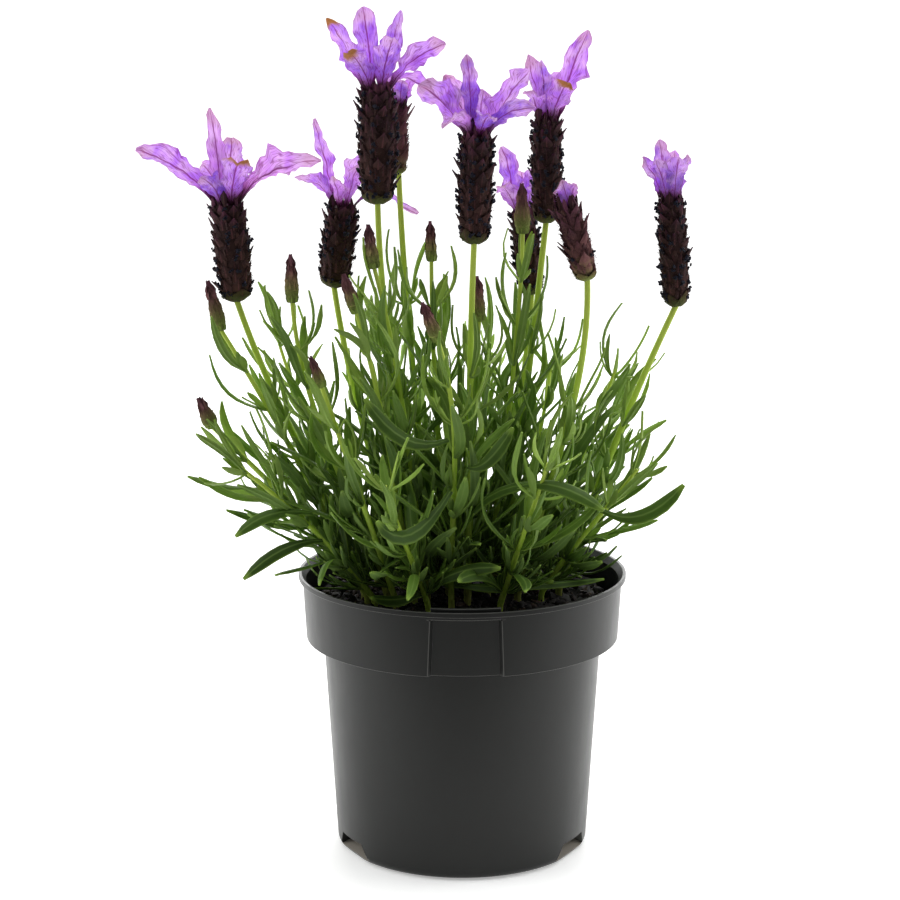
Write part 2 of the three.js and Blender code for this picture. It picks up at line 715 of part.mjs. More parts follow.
function layOut() {
  const feet = spreadFeet();
  shoots.forEach((shoot, i) => {
    const angle = makeRandom(101 + 17 * i)(0, Math.PI / 2);
    shoot.turn = new THREE.Vector3(Math.cos(angle), Math.sin(angle), 0);
    shoot.run = runOf(feet[i], shoot);
    const kind = kinds[shoot.kind];
    const radii = shoot.run.walked.map((w) => mix(kind.footSide, kind.tipSide, w / shoot.run.length) * 0.72);
    take(shoot.run.points, radii, i);
    if (!shoot.top) return;
    take([vec(shoot.foot), vec(shoot.top)], [shoot.width / 2, shoot.width / 2], -1 - i);
    for (const bract of shoot.bracts ?? []) {
      const { start, bulge, tip } = bractLine(shoot, bract);
      const curve = new THREE.QuadraticBezierCurve3(start, bulge, tip);
      const half = bract[3] / 2;
      take(curve.getPoints(4), [half * 0.5, half, half, half, half * 0.5], -1 - i);
    }
  });
  // Leaves go on from the tips down, one pair of each shoot in turn, so no shoot takes all the room.
  shoots.forEach((shoot, i) => {
    shoot.spots = leafSpots(shoot, makeRandom(7001 + 131 * i));
    shoot.leaves = [];
  });
  const most = Math.max(...shoots.map((shoot) => shoot.spots.length));
  for (let turn = 1; turn <= most; turn++) {
    shoots.forEach((shoot, i) => {
      const spot = shoot.spots[shoot.spots.length - turn];
      if (!spot) return;
      for (const detour of detours) {
        const line = leafLine(spot, detour);
        const pieces = bladePieces(line, i);
        if (!isFree(line, pieces)) continue;
        taken.push(...pieces);
        shoot.leaves.push({ ...spot, ...line });
        return;
      }
    });
  }
}

// One leaf, grown out of the four corners of a stem's side: flat above, with a keel below.
function growLeaf(surface, corners, line) {
  let low = null;
  for (let i = 1; i < line.points.length - 1; i++) {
    const across = line.acrosses[i];
    const face = line.headings[i].clone().cross(across);
    const centre = line.points[i];
    const ring = surface.ring([
      centre.clone().addScaledVector(face, -leaf.thickness),
      centre.clone().addScaledVector(across, line.halves[i]),
      centre.clone().addScaledVector(across, -line.halves[i]),
    ]);
    if (low) surface.band(low, ring);
    else surface.leafFoot(corners, ring);
    low = ring;
  }
  surface.cap(low, surface.point(line.points[line.points.length - 1]));
}

// A shoot: square stem, its leaves, and below a spike or bud a small flared cup.
function makeShoot(shoot) {
  const kind = kinds[shoot.kind];
  const { run } = shoot;
  const surface = new Surface();
  const sectionAt = (distance) => {
    const { point, direction } = along(run, distance);
    const side = mix(kind.footSide, kind.tipSide, distance / run.length);
    return surface.ring(stemRing(point, stemFrame(direction, shoot.turn), side));
  };
  let low = sectionAt(0);
  surface.floor(low, surface.point(run.points[0]));
  const nodes = new Map();
  for (const grown of shoot.leaves) {
    nodes.set(grown.pair, [...(nodes.get(grown.pair) ?? []), grown]);
  }
  const advance = (distance, skipped = []) => {
    const ring = sectionAt(distance);
    surface.band(low, ring, skipped);
    const before = low;
    low = ring;
    return before;
  };
  advance(stem.sunk);
  for (const pair of [...nodes.keys()].sort((a, b) => a - b)) {
    const leaves = nodes.get(pair);
    const { distance } = leaves[0];
    advance(distance - stem.nodeHalf);
    const foot = advance(distance + stem.nodeHalf, leaves.map((l) => l.face));
    for (const grown of leaves) {
      const next = (grown.face + 1) % 4;
      growLeaf(surface, [foot[grown.face], foot[next], low[next], low[grown.face]], grown);
    }
  }
  if (shoot.kind === "flower") {
    advance(run.length - kind.bare * 0.62);
    advance(run.length - kind.bare * 0.3);
  }
  if (shoot.kind === "leafy") {
    surface.cap(low, surface.point(run.points[run.points.length - 1]));
    return surface.geometry();
  }
  const cup = cups[shoot.kind];
  advance(run.length - cup.height);
  const tip = vec(shoot.foot);
  const axis = vec(shoot.top).sub(tip).normalize();
  const normals = stemFrame(axis, shoot.turn);
  const radius = (shoot.width / 2) * cup.share;
  const rim = surface.ring(
    normals.map((n, i) => tip.clone()
      .addScaledVector(n, radius * Math.SQRT1_2)
      .addScaledVector(normals[(i + 3) % 4], radius * Math.SQRT1_2)),
  );
  const swell = surface.ring(normals.map((n) => tip.clone().addScaledVector(n, radius)));
  // Eight corners round the cup's rim: the stem's four, and one between each two of them.
  low.forEach((a, i) => {
    const j = (i + 1) % 4;
    surface.face(a, low[j], swell[i]);
    surface.face(a, swell[i], rim[i]);
    surface.face(low[j], rim[j], swell[i]);
  });
  surface.cap([rim[0], swell[0], rim[1], swell[1], rim[2], swell[2], rim[3], swell[3]], surface.point(tip));
  return surface.geometry();
}

// ---- soil ---------------------------------------------------------------------------------------------------

// How far the soil's surface lies above or below its level.
function rough(x, y) {
  const broad = Math.sin(x * 0.31 + 1.3) * Math.cos(y * 0.27 - 0.6);
  return (soil.relief * (broad + 0.5 * Math.sin(x * 0.12 - y * 0.19))) / 1.5;
}

// Potting soil: fills the pot, with an uneven top and a plain hole for each stem.
function makeSoil() {
  const inset = pot.wall + soil.wallGap;
  const wallAt = (height) => mix(pot.bodyFootRadius, pot.bodyTopRadius, height / pot.collarFoot) - inset;
  const topRadius = pot.collarFootRadius - inset;
  const filling = turnedGeometry(
    [
      [0, pot.floor + clearance],
      [pot.innerBevelRadius - 1, pot.floor + clearance],
      [wallAt(pot.innerBevelHeight) - 0.5, pot.innerBevelHeight + clearance],
      [wallAt(pot.collarFoot), pot.collarFoot + pot.wall + clearance],
      [topRadius, pot.collarFoot + pot.wall + clearance],
      [topRadius, soil.level - 1],
      ...Array.from({ length: soil.rings }, (_, i) => [topRadius * (1 - (i + 1) / (soil.rings + 1)), soil.level]),
      [0, soil.level],
    ],
    soil.sides,
  );
  const corners = filling.attributes.position;
  for (let i = 0; i < corners.count; i++) {
    if (corners.getZ(i) > soil.level - 0.5) corners.setZ(i, soil.level + rough(corners.getX(i), corners.getY(i)));
  }
  let solid = solidOf(filling);
  for (const angle of labelRecess.angles) {
    const halfAngle = labelRecess.halfAngle + 2 * labelRecess.cheekAngle;
    const room = ringSector(bossRadius - soil.wallGap, pot.lipRadius, pot.collarFoot, pot.height, angle, halfAngle);
    solid = solid.subtract(room);
  }
  for (const shoot of shoots) {
    const side = kinds[shoot.kind].footSide + 2 * clearance;
    const foot = shoot.run.points[0];
    const depth = stem.sunk + soil.relief + 3;
    const hole = new THREE.BoxGeometry(side, side, depth)
      .rotateZ(Math.atan2(shoot.turn.y, shoot.turn.x))
      .translate(foot.x, foot.y, foot.z - clearance + depth / 2);
    solid = solid.subtract(solidOf(hole));
  }
  return solid;
}

// ---- assembly -----------------------------------------------------------------------------------------------

const plant = new THREE.Group();

function place(name, geometry, finish) {
  const mesh = new THREE.Mesh(geometry, finish);
  mesh.name = name;
  plant.add(mesh);
}

const finishes = {
  plastic: material(colours.plastic, 0.5),
  soil: material(colours.soil, 1),
  shoot: material(colours.shoot, 0.65),
  spike: material(colours.spike, 0.85),
  bract: material(colours.bract, 0.6),
  bud: material(colours.bud, 0.8),
};

layOut();
place("pot", geometryOf(makePot()), finishes.plastic);
place("potting_soil", geometryOf(makeSoil()), finishes.soil);

const counts = { flower: 0, bud: 0, leafy: 0 };
for (const shoot of shoots) {
  const number = String(++counts[shoot.kind]).padStart(2, "0");
  place(`${shoot.kind}_shoot_${number}`, makeShoot(shoot), finishes.shoot);
  if (!shoot.top) continue;
  const foot = vec(shoot.foot);
  const top = vec(shoot.top);
  foot.addScaledVector(top.clone().sub(foot).normalize(), clearance);
  if (shoot.kind === "flower") {
    place(`flower_spike_${number}`, scaly(foot, top, spikeRadius(shoot.width), spikeScales), finishes.spike);
    place(`bract_tuft_${number}`, geometryOf(makeTuft(shoot)), finishes.bract);
  } else {
    place(`bud_${number}`, scaly(foot, top, budRadius(shoot.width), budScales), finishes.bud);
  }
}

export default plant;
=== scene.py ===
import math
from functools import partial

import bmesh
import bpy
from mathutils import Matrix, Quaternion, Vector, noise
from mathutils.kdtree import KDTree


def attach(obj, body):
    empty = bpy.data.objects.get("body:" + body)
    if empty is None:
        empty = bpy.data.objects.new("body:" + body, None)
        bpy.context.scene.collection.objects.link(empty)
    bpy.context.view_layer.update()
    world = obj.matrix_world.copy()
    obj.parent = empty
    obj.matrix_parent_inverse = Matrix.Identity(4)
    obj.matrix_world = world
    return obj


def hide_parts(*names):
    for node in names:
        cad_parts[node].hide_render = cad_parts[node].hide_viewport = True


# Potted lavender: the looks of every piece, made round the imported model.
# The layout is in millimetres and repeats the model's own values; meshes are in metres.
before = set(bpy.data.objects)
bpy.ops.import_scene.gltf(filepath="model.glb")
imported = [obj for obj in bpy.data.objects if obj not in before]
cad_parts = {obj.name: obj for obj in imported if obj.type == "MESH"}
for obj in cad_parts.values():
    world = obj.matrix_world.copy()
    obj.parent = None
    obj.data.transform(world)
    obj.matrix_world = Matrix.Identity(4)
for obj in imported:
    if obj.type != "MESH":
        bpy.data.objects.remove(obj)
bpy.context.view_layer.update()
mm = 0.001
up = Vector((0, 0, 1))
front = Vector((0, -1, 0))
print("frame loaded,", len(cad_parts), "nodes")


def mix(low, high, share):
    return low + (high - low) * share


def smooth(low, high, value):
    # 0 below low, 1 above high, and an even rise between them
    share = min(1, max(0, (value - low) / (high - low)))
    return share * share * (3 - 2 * share)


def curvePoint(start, bend, end, t):
    # a point on the curve that leaves start towards bend and comes to end from it
    return start * (1 - t) ** 2 + bend * 2 * t * (1 - t) + end * t * t


def curveHeading(start, bend, end, t):
    return ((bend - start) * (1 - t) + (end - bend) * t).normalized()


# what each kind of draw starts from, and the step from one numbered piece to the next
seeds = {"soil": (4243, 0), "turn": (101, 17), "leaves": (7001, 131), "shoot": (50021, 977), "crumb": (77, 1),
         "spike": (9001, 613), "bud": (31013, 389), "tuft": (65003, 727)}


def makeRandom(purpose, number=0):
    # draws between two limits, by the rule of the model's source
    factor, limit = 48271, 2147483647
    first, step = seeds[purpose]
    state = first + step * number

    def draw(low, high):
        nonlocal state
        state = state * factor % limit
        return low + (high - low) * state / limit

    return draw


# Camera: the photograph's frame is square, 900 pixels a side, and the long lens looks slightly down.
view = {"lens": 103.0, "sensor": 36.0, "place": (-0.00523, -1.0689, 0.3968), "pitch": 78.147}


def makeCamera():
    data = bpy.data.cameras.new("camera")
    data.lens = view["lens"]
    data.sensor_width = view["sensor"]
    camera = bpy.data.objects.new("camera", data)
    camera.location = view["place"]
    camera.rotation_euler = (math.radians(view["pitch"]), 0, 0)
    bpy.context.scene.collection.objects.link(camera)
    bpy.context.scene.camera = camera


makeCamera()
print("camera placed")


def toLinear(hexColour):
    parts = [int(hexColour[i:i + 2], 16) / 255 for i in (1, 3, 5)]
    linear = [p / 12.92 if p <= 0.04045 else ((p + 0.055) / 1.055) ** 2.4 for p in parts]
    return (*linear, 1)


def addNode(tree, kind, inputs=None, stops=None, **settings):
    # One node with its settings, its inputs and a ramp's colours as (place, hex). An input is a value, a hex
    # colour, a socket, or a node, which stands for its first output in use.
    node = tree.nodes.new("ShaderNode" + kind)
    for name, value in settings.items():
        setattr(node, name, value)
    for name, value in (inputs or {}).items():
        if isinstance(value, bpy.types.Node):
            value = value.outputs[2 if getattr(value, "data_type", "") == "RGBA" else 0]
        if isinstance(value, bpy.types.NodeSocket):
            tree.links.new(value, node.inputs[name])
        else:
            node.inputs[name].default_value = toLinear(value) if isinstance(value, str) else value
    for i, (place, colour) in enumerate(stops or []):
        elements = node.color_ramp.elements
        element = elements[i] if i < 2 else elements.new(place)
        element.position = place
        element.color = toLinear(colour)
    return node


def makeMaterial(name, shade, *details):
    # a material whose surface is the shader that shade builds with add, which puts one node in its tree
    material = bpy.data.materials.new(name)
    material.use_nodes = True
    material.node_tree.nodes.clear()
    add = partial(addNode, material.node_tree)
    add("OutputMaterial", {"Surface": shade(add, *details)})
    return material


# Light: a bright cove behind that falls off round the sides to a dim room behind the camera.
studio = {
    "cove": "#ffffff",
    "coveStrength": 1.3,
    "room": "#eceff3",
    "roomStrength": 0.25,
    "coveFade": (-0.5, 0.75),  # between these the light's direction turns from the room to the cove
    "lamps": {  # place, size and power of each soft box, in metres and watts
        "topBox": ((0.1, 0.1, 1.5), 1.2, 12),
        "leftBox": ((-1.2, -0.2, 0.8), 0.8, 6),
        "rightBox": ((1.3, 0.1, 0.7), 0.8, 6),
        "backBox": ((0.0, 1.3, 0.9), 0.9, 10),
    },
    "aim": (0, 0, 0.2),
    "floorSide": 3.2,
    "floorDrop": 0.2,  # millimetres that the floor lies below the pot
    "floorGlow": 0.36,
    "floorColours": ("#f6f6f4", "#fbfbfa"),
    "floorShade": "#a6a6a4",
    "floorFade": (-0.12, -0.34),  # between these the sheet in front of the pot runs from white to grey
}


def makeWorld():
    world = bpy.data.worlds.new("studio")
    world.use_nodes = True
    world.node_tree.nodes.clear()
    add = partial(addNode, world.node_tree)
    direction = add("TexCoord").outputs["Generated"]
    along = add("SeparateXYZ", {0: direction}).outputs["Y"]
    dim, bright = studio["coveFade"]
    share = add("MapRange", {0: along, 1: dim, 2: bright, 3: 0, 4: 1}, interpolation_type="SMOOTHSTEP")
    colour = add("Mix", {0: share, 6: studio["room"], 7: studio["cove"]}, data_type="RGBA")
    strength = add("Mix", {0: share, 2: studio["roomStrength"], 3: studio["coveStrength"]})
    add("OutputWorld", {"Surface": add("Background", {"Color": colour, "Strength": strength})})
    bpy.context.scene.world = world
    bpy.context.scene.view_settings.view_transform = "Standard"


def makeLamps():
    for name, (place, size, power) in studio["lamps"].items():
        data = bpy.data.lights.new(name, "AREA")
        data.size = size
        data.energy = power
        lamp = bpy.data.objects.new(name, data)
        lamp.location = place
        lamp.rotation_euler = (Vector(studio["aim"]) - Vector(place)).to_track_quat("-Z", "Y").to_euler()
        bpy.context.scene.collection.objects.link(lamp)


def milkySheet(add):
    # Milky sheet of a table lit from below: dead matt, almost without shadows, with a faint cloudiness a hand
    # wide. Towards the front it is shaded grey, so that the pot's front has little white to mirror.
    place = add("TexCoord").outputs["Object"]
    cloud = add("TexNoise", {"Vector": place, "Scale": 9.0, "Detail": 2.0})
    low, high = studio["floorColours"]
    white = add("ValToRGB", {0: cloud}, [(0.3, low), (0.7, high)])
    back, ahead = studio["floorFade"]
    depth = add("SeparateXYZ", {0: place}).outputs["Y"]
    fade = add("MapRange", {0: depth, 1: ahead, 2: back, 3: 1, 4: 0}, interpolation_type="SMOOTHSTEP")
    colour = add("Mix", {0: fade, 6: white, 7: studio["floorShade"]}, data_type="RGBA")
    lit = add("Mix", {0: fade, 2: studio["floorGlow"], 3: 0.0})
    return add("BsdfPrincipled", {
        "Base Color": colour, "Roughness": 0.9, "Emission Color": colour, "Emission Strength": lit})


def makeFloor():
    bm = bmesh.new()
    bmesh.ops.create_grid(bm, x_segments=4, y_segments=4, size=studio["floorSide"] / 2)
    bmesh.ops.translate(bm, verts=bm.verts, vec=(0, 0, -studio["floorDrop"] * mm))
    mesh = bpy.data.meshes.new("floor")
    bm.to_mesh(mesh)
    bm.free()
    mesh.materials.append(makeMaterial("milkySheet", milkySheet))
    floor = bpy.data.objects.new("floor", mesh)
    bpy.context.scene.collection.objects.link(floor)


makeWorld()
makeLamps()
makeFloor()
print("studio made")


def mouldedPlastic(add):
    # Polypropylene with carbon black, injection moulded in a finely etched tool: a satin skin that
    # is dull face on and brightens towards the edges, with faint flow clouds and a few scuffs. Where the
    # attribute read below is 1, a rounded edge gets a painted highlight, and at 2 a drainage cut's ramp
    # is painted light grey, as painted light from outside.
    place = add("TexCoord").outputs["Object"]
    drawn = add("Mapping", {"Vector": place, "Scale": (1, 1, 0.35)})
    cloud = add("TexNoise", {"Vector": drawn, "Scale": 22.0, "Detail": 4.0})  # about 45 mm wide
    skin = add("ValToRGB", {0: cloud}, [(0.3, "#131412"), (0.75, "#191a18")])
    paintedLight = add("Attribute", attribute_name="paintedLight").outputs["Fac"]
    # painted highlight: the narrow faces of the rounded edges are painted paler
    edgeHighlight = add("Mix", {0: paintedLight, 6: skin, 7: "#4c4c49"}, data_type="RGBA")
    # painted light: a drainage cut's ramp is painted light grey as if lit from outside
    rampLight = add("Math", {0: paintedLight, 1: 1.0}, operation="SUBTRACT")
    colour = add("Mix", {0: rampLight, 6: edgeHighlight, 7: "#948e84"}, data_type="RGBA")
    grain = add("TexNoise", {"Vector": place, "Scale": 1 / (0.5 * mm), "Detail": 2.0})
    scuffs = add("TexNoise", {"Vector": drawn, "Scale": 90.0, "Detail": 5.0, "Roughness": 0.7})
    roughness = add("MapRange", {0: scuffs, 1: 0.35, 2: 0.75, 3: 0.33, 4: 0.42})
    bump = add("Bump", {"Strength": 0.2, "Distance": 0.1 * mm, "Height": grain})
    return add("BsdfPrincipled", {
        "Base Color": colour, "Roughness": roughness, "IOR": 1.49, "Specular IOR Level": 0.3, "Normal": bump})


def dampPeatWithPaintedShade(add):
    # Damp peat and composted bark, painted near black: their own dark colour with painted shade from the
    # pot's wall and the leaves over it; matt, with brown fibres and a slight wet glint.
    place = add("TexCoord").outputs["Object"]
    grain = add("TexNoise", {"Vector": place, "Scale": 1 / (3 * mm), "Detail": 5.0})
    chance = add("Attribute", attribute_name="chance").outputs["Fac"]
    both = add("Math", {0: grain, 1: chance}, operation="ADD")
    brown = add("Math", {0: both, 1: 0.5}, operation="MULTIPLY")
    # painted shade: these colours are darker than the peat's own, for the shade inside the pot
    colour = add("ValToRGB", {0: brown}, [
        (0.2, "#0a0806"), (0.55, "#15100c"), (0.75, "#261b14"), (0.95, "#453324")])
    fine = add("TexNoise", {"Vector": place, "Scale": 1 / (0.7 * mm), "Detail": 3.0})
    bump = add("Bump", {"Strength": 0.8, "Distance": 0.5 * mm, "Height": fine})
    return add("BsdfPrincipled", {"Base Color": colour, "Roughness": 0.85, "Normal": bump})


def stalkSkin(add):
    # Square green stalk: brown and woody at the soil, yellow green above, with paler ribs that run along it.
    place = add("TexCoord").outputs["Object"]
    drawn = add("Mapping", {"Vector": place, "Scale": (1, 1, 0.05)})
    ribs = add("TexNoise", {"Vector": drawn, "Scale": 1 / (0.8 * mm), "Detail": 2.0})
    age = add("Attribute", attribute_name="age").outputs["Fac"]
    colour = add("ValToRGB", {0: age}, [
        (0.05, "#665434"), (0.2, "#7c9a2a"), (0.6, "#a6cc38"), (1.0, "#bcd050")])
    shade = add("MapRange", {0: ribs, 1: 0.3, 2: 0.7, 3: 0.0, 4: 0.4})
    ribbed = add("Mix", {0: shade, 6: colour, 7: "#c8d868"}, data_type="RGBA")
    bump = add("Bump", {"Strength": 0.3, "Distance": 0.2 * mm, "Height": ribs})
    return add("BsdfPrincipled", {
        "Base Color": ribbed, "Roughness": 0.5, "Specular IOR Level": 0.3, "Normal": bump})


def bladePlace(add):
    # where a point lies on its blade: across it, along it, and away from its midrib
    place = add("SeparateXYZ", {0: add("UVMap", uv_map="blade")})
    fromRib = add("Math", {0: place.outputs["X"], 1: 0.5}, operation="SUBTRACT")
    return place.outputs["X"], place.outputs["Y"], add("Math", {0: fromRib}, operation="ABSOLUTE")


def leafSkin(add):
    # Lavender leaf: leathery green with a fine felt and sunken midrib; low leaves are darker, for their age
    # and as painted shade, and the pale rolled edges and lime tip are partly painted highlight.
    # Light from behind comes through yellower than the skin.
    _, along, ribSide = bladePlace(add)
    age, chance, under = (add("Attribute", attribute_name=name).outputs["Fac"]
                          for name in ("age", "chance", "under"))
    place = add("TexCoord").outputs["Object"]
    # darker low on the shoot: the leaves' age together with painted shade
    ageAndPaintedShade = add("ValToRGB", {0: age}, [
        (0.0, "#2f4717"), (0.35, "#4c6a22"), (0.7, "#6f9036"), (1.0, "#9db852")])
    blotch = add("TexNoise", {"Vector": place, "Scale": 1 / (7 * mm), "Detail": 3.0})
    light = add("Math", {0: blotch, 1: chance}, operation="ADD")
    value = add("MapRange", {0: light, 1: 0.4, 2: 1.5, 3: 0.65, 4: 1.4})
    shaded = add("HueSaturation", {"Value": value, "Color": ageAndPaintedShade})
    rib = add("MapRange", {0: ribSide, 1: 0.02, 2: 0.09, 3: 0.4, 4: 0.0})
    # painted highlight, partly the leaf's own paler margin: the rolled edge and the tip are painted lighter
    edge = add("MapRange", {0: ribSide, 1: 0.38, 2: 0.5, 3: 0.0, 4: 0.45})
    tip = add("MapRange", {0: along, 1: 0.9, 2: 1.0, 3: 0.0, 4: 0.8})
    outer = add("Math", {0: edge, 1: tip}, operation="MAXIMUM")
    felt = add("Math", {0: under, 1: 0.35}, operation="MULTIPLY")
    colour = shaded
    for share, tint in ((rib, "#8fae55"), (outer, "#9cbd4c"), (felt, "#7f9a5c")):
        colour = add("Mix", {0: share, 6: colour, 7: tint}, data_type="RGBA")
    pores = add("TexNoise", {"Vector": place, "Scale": 1 / (0.6 * mm), "Detail": 2.0})
    bump = add("Bump", {"Strength": 0.25, "Distance": 0.15 * mm, "Height": pores})
    skin = add("BsdfPrincipled", {
        "Base Color": colour, "Roughness": 0.5, "Specular IOR Level": 0.22, "Normal": bump})
    glow = add("Mix", {0: 0.5, 6: colour, 7: "#9cc02c"}, data_type="RGBA")
    through = add("BsdfTranslucent", {"Color": glow, "Normal": bump})
    return add("MixShader", {0: 0.2, 1: skin, 2: through})


def bractTissue(add):
    # The petal-like bracts: papery violet tissue that glows with light from behind, with a dark
    # midrib, a net of finer veins, a maroon claw and a dry brown edge on the oldest.
    across, along, ribSide = bladePlace(add)
    dry, chance = (add("Attribute", attribute_name=name).outputs["Fac"] for name in ("age", "chance"))
    place = add("TexCoord").outputs["Object"]
    blotch = add("TexNoise", {"Vector": place, "Scale": 1 / (5 * mm), "Detail": 3.0})
    both = add("Math", {0: blotch, 1: chance}, operation="ADD")
    hue = add("Math", {0: both, 1: 0.5}, operation="MULTIPLY")
    violet = add("ValToRGB", {0: hue}, [(0.25, "#bf8ff4"), (0.5, "#deaeff"), (0.75, "#f5ccff")])
    # thin windows of paler tissue, mostly towards the tip
    thin = add("Math", {0: blotch, 1: 2.2, 2: along}, operation="MULTIPLY_ADD")
    window = add("MapRange", {0: thin, 1: 1.5, 2: 2.1, 3: 0.0, 4: 0.85})
    pale = add("Mix", {0: window, 6: violet, 7: "#f6e0ff"}, data_type="RGBA")
    # veins: cells drawn out towards the tip, bent outward from the midrib
    swept = add("Math", {0: ribSide, 1: -1.1, 2: along}, operation="MULTIPLY_ADD")
    net = add("CombineXYZ", {
        i: add("Math", {0: source, 1: count}, operation="MULTIPLY")
        for i, (source, count) in enumerate(((across, 6.0), (swept, 12.0), (chance, 40.0)))})
    cells = add("TexVoronoi", {"Vector": net, "Scale": 1.0}, feature="DISTANCE_TO_EDGE")
    vein = add("MapRange", {0: cells, 1: 0.01, 2: 0.1, 3: 0.55, 4: 0.0})
    rib = add("MapRange", {0: ribSide, 1: 0.008, 2: 0.045, 3: 0.9, 4: 0.0})
    rim = add("MapRange", {0: ribSide, 1: 0.45, 2: 0.5, 3: 0.0, 4: 0.35})
    inner = add("Math", {0: vein, 1: rib}, operation="MAXIMUM")
    lines = add("Math", {0: inner, 1: rim}, operation="MAXIMUM")
    colour = add("Mix", {0: lines, 6: pale, 7: "#a03f92"}, data_type="RGBA")
    # the claw's colour runs further up along the veins: magenta first, then maroon
    foot = add("Math", {0: inner, 1: -0.2, 2: along}, operation="MULTIPLY_ADD")
    for tint, low, high in (("#a8489c", 0.06, 0.36), ("#4a1830", 0.02, 0.22)):
        claw = add("MapRange", {0: foot, 1: low, 2: high, 3: 1.0, 4: 0.0}, interpolation_type="SMOOTHSTEP")
        colour = add("Mix", {0: claw, 6: colour, 7: tint}, data_type="RGBA")
    frayed = add("Math", {0: blotch, 1: 0.35, 2: along}, operation="MULTIPLY_ADD")
    tip = add("MapRange", {0: frayed, 1: 1.0, 2: 1.1, 3: 0.0, 4: 1.0})
    dried = add("Math", {0: tip, 1: dry}, operation="MULTIPLY")
    colour = add("Mix", {0: dried, 6: colour, 7: "#c79c6c"}, data_type="RGBA")
    height = add("Math", {0: blotch, 1: lines}, operation="SUBTRACT")
    bump = add("Bump", {"Strength": 0.35, "Distance": 0.4 * mm, "Height": height})
    skin = add("BsdfPrincipled", {"Base Color": colour, "Roughness": 0.5, "Normal": bump})
    through = add("BsdfTranslucent", {"Color": colour, "Normal": bump})
    return add("MixShader", {0: 0.68, 1: skin, 2: through})


def feltedScale(add, stops):
    # Scales of the heads and buds: felted and matt with a paler rib, green when young and brown to maroon
    # later.
    _, along, ribSide = bladePlace(add)
    age, chance = (add("Attribute", attribute_name=name).outputs["Fac"] for name in ("age", "chance"))
    place = add("TexCoord").outputs["Object"]
    ripe = add("Math", {0: along, 1: 0.3, 2: age}, operation="MULTIPLY_ADD")
    colour = add("ValToRGB", {0: ripe}, stops)
    felt = add("TexNoise", {"Vector": place, "Scale": 1 / (0.5 * mm), "Detail": 3.0})
    light = add("Math", {0: felt, 1: chance}, operation="ADD")
    value = add("MapRange", {0: light, 1: 0.3, 2: 1.6, 3: 0.5, 4: 1.5})
    rib = add("MapRange", {0: ribSide, 1: 0.0, 2: 0.09, 3: 0.4, 4: 0.0})
    ribbed = add("Mix", {0: rib, 6: colour, 7: "#74464c"}, data_type="RGBA")
    mottled = add("HueSaturation", {"Value": value, "Color": ribbed})
    bump = add("Bump", {"Strength": 0.6, "Distance": 0.3 * mm, "Height": felt})
    return add("BsdfPrincipled", {
        "Base Color": mottled, "Roughness": 0.9, "Specular IOR Level": 0.25, "Normal": bump})


def driedFloret(add):
    # Withered florets: shrunken to near-black navy crumbs with a dull gloss.
    place = add("TexCoord").outputs["Object"]
    wrinkle = add("TexNoise", {"Vector": place, "Scale": 1 / (0.9 * mm), "Detail": 4.0})
    colour = add("ValToRGB", {0: wrinkle}, [(0.35, "#0a0a15"), (0.7, "#1b1b30")])
    bump = add("Bump", {"Strength": 0.8, "Distance": 0.4 * mm, "Height": wrinkle})
    return add("BsdfPrincipled", {
        "Base Color": colour, "Roughness": 0.7, "Specular IOR Level": 0.25, "Normal": bump})


def woolHair(add):
    # Single hairs of the felt, from dark brown to grey mauve.
    chance = add("Attribute", attribute_name="chance").outputs["Fac"]
    colour = add("ValToRGB", {0: chance}, [(0.0, "#1e1416"), (1.0, "#5a4542")])
    return add("BsdfPrincipled", {"Base Color": colour, "Roughness": 0.7})


finishes = {
    "plastic": makeMaterial("mouldedPolypropylene", mouldedPlastic),
    "peat": makeMaterial("dampPeatWithPaintedShade", dampPeatWithPaintedShade),
    "stalk": makeMaterial("stalkSkin", stalkSkin),
    "leaf": makeMaterial("leafSkin", leafSkin),
    "bract": makeMaterial("bractTissue", bractTissue),
    "scale": makeMaterial("woollyScale", feltedScale, [
        (0.05, "#4b5826"), (0.35, "#4a3e26"), (0.5, "#432b26"), (0.8, "#331f20"), (1.0, "#4e273a")]),
    "youngScale": makeMaterial("youngScale", feltedScale, [
        (0.05, "#7b8d42"), (0.3, "#766c42"), (0.55, "#6a4644"), (0.8, "#523038"), (1.0, "#6a3e4e")]),
    "floret": makeMaterial("driedFloret", driedFloret),
    "hair": makeMaterial("woolHair", woolHair),
}
print("materials made")


def startPiece():
    bm = bmesh.new()
    bm.loops.layers.uv.new("blade")
    for name in ("age", "chance", "under"):
        bm.verts.layers.float.new(name)
    return bm


def keepShape(name, bm):
    # keeps a finished shape as a mesh that copyIn adds to pieces
    mesh = bpy.data.meshes.new(name)
    bm.to_mesh(mesh)
    bm.free()
    return mesh


def copyIn(bm, shape, material=0, age=0.0, chance=0.0):
    # adds one copy of a kept shape to a piece and gives its vertices
    firstVert, firstFace = len(bm.verts), len(bm.faces)
    bm.from_mesh(shape)
    bm.verts.ensure_lookup_table()
    bm.faces.ensure_lookup_table()
    ageLayer, chanceLayer = bm.verts.layers.float["age"], bm.verts.layers.float["chance"]
    verts = bm.verts[firstVert:]
    for vert in verts:
        vert[ageLayer] = age
        vert[chanceLayer] = chance
    for face in bm.faces[firstFace:]:
        face.material_index = material
    return verts


def finishPiece(name, bm, materials, node, sharpAngle=50):
    mesh = bpy.data.meshes.new(name)
    for face in bm.faces:
        face.smooth = True
    bm.to_mesh(mesh)
    bm.free()
    for material in materials:
        mesh.materials.append(finishes[material])
    mesh.set_sharp_from_angle(angle=math.radians(sharpAngle))
    piece = bpy.data.objects.new(name, mesh)
    bpy.context.scene.collection.objects.link(piece)
    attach(piece, "root")
    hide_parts(node)
    return piece


def applyModifiers(piece):
    depsgraph = bpy.context.evaluated_depsgraph_get()
    shaped = bpy.data.meshes.new_from_object(piece.evaluated_get(depsgraph))
    piece.modifiers.clear()
    piece.data = shaped


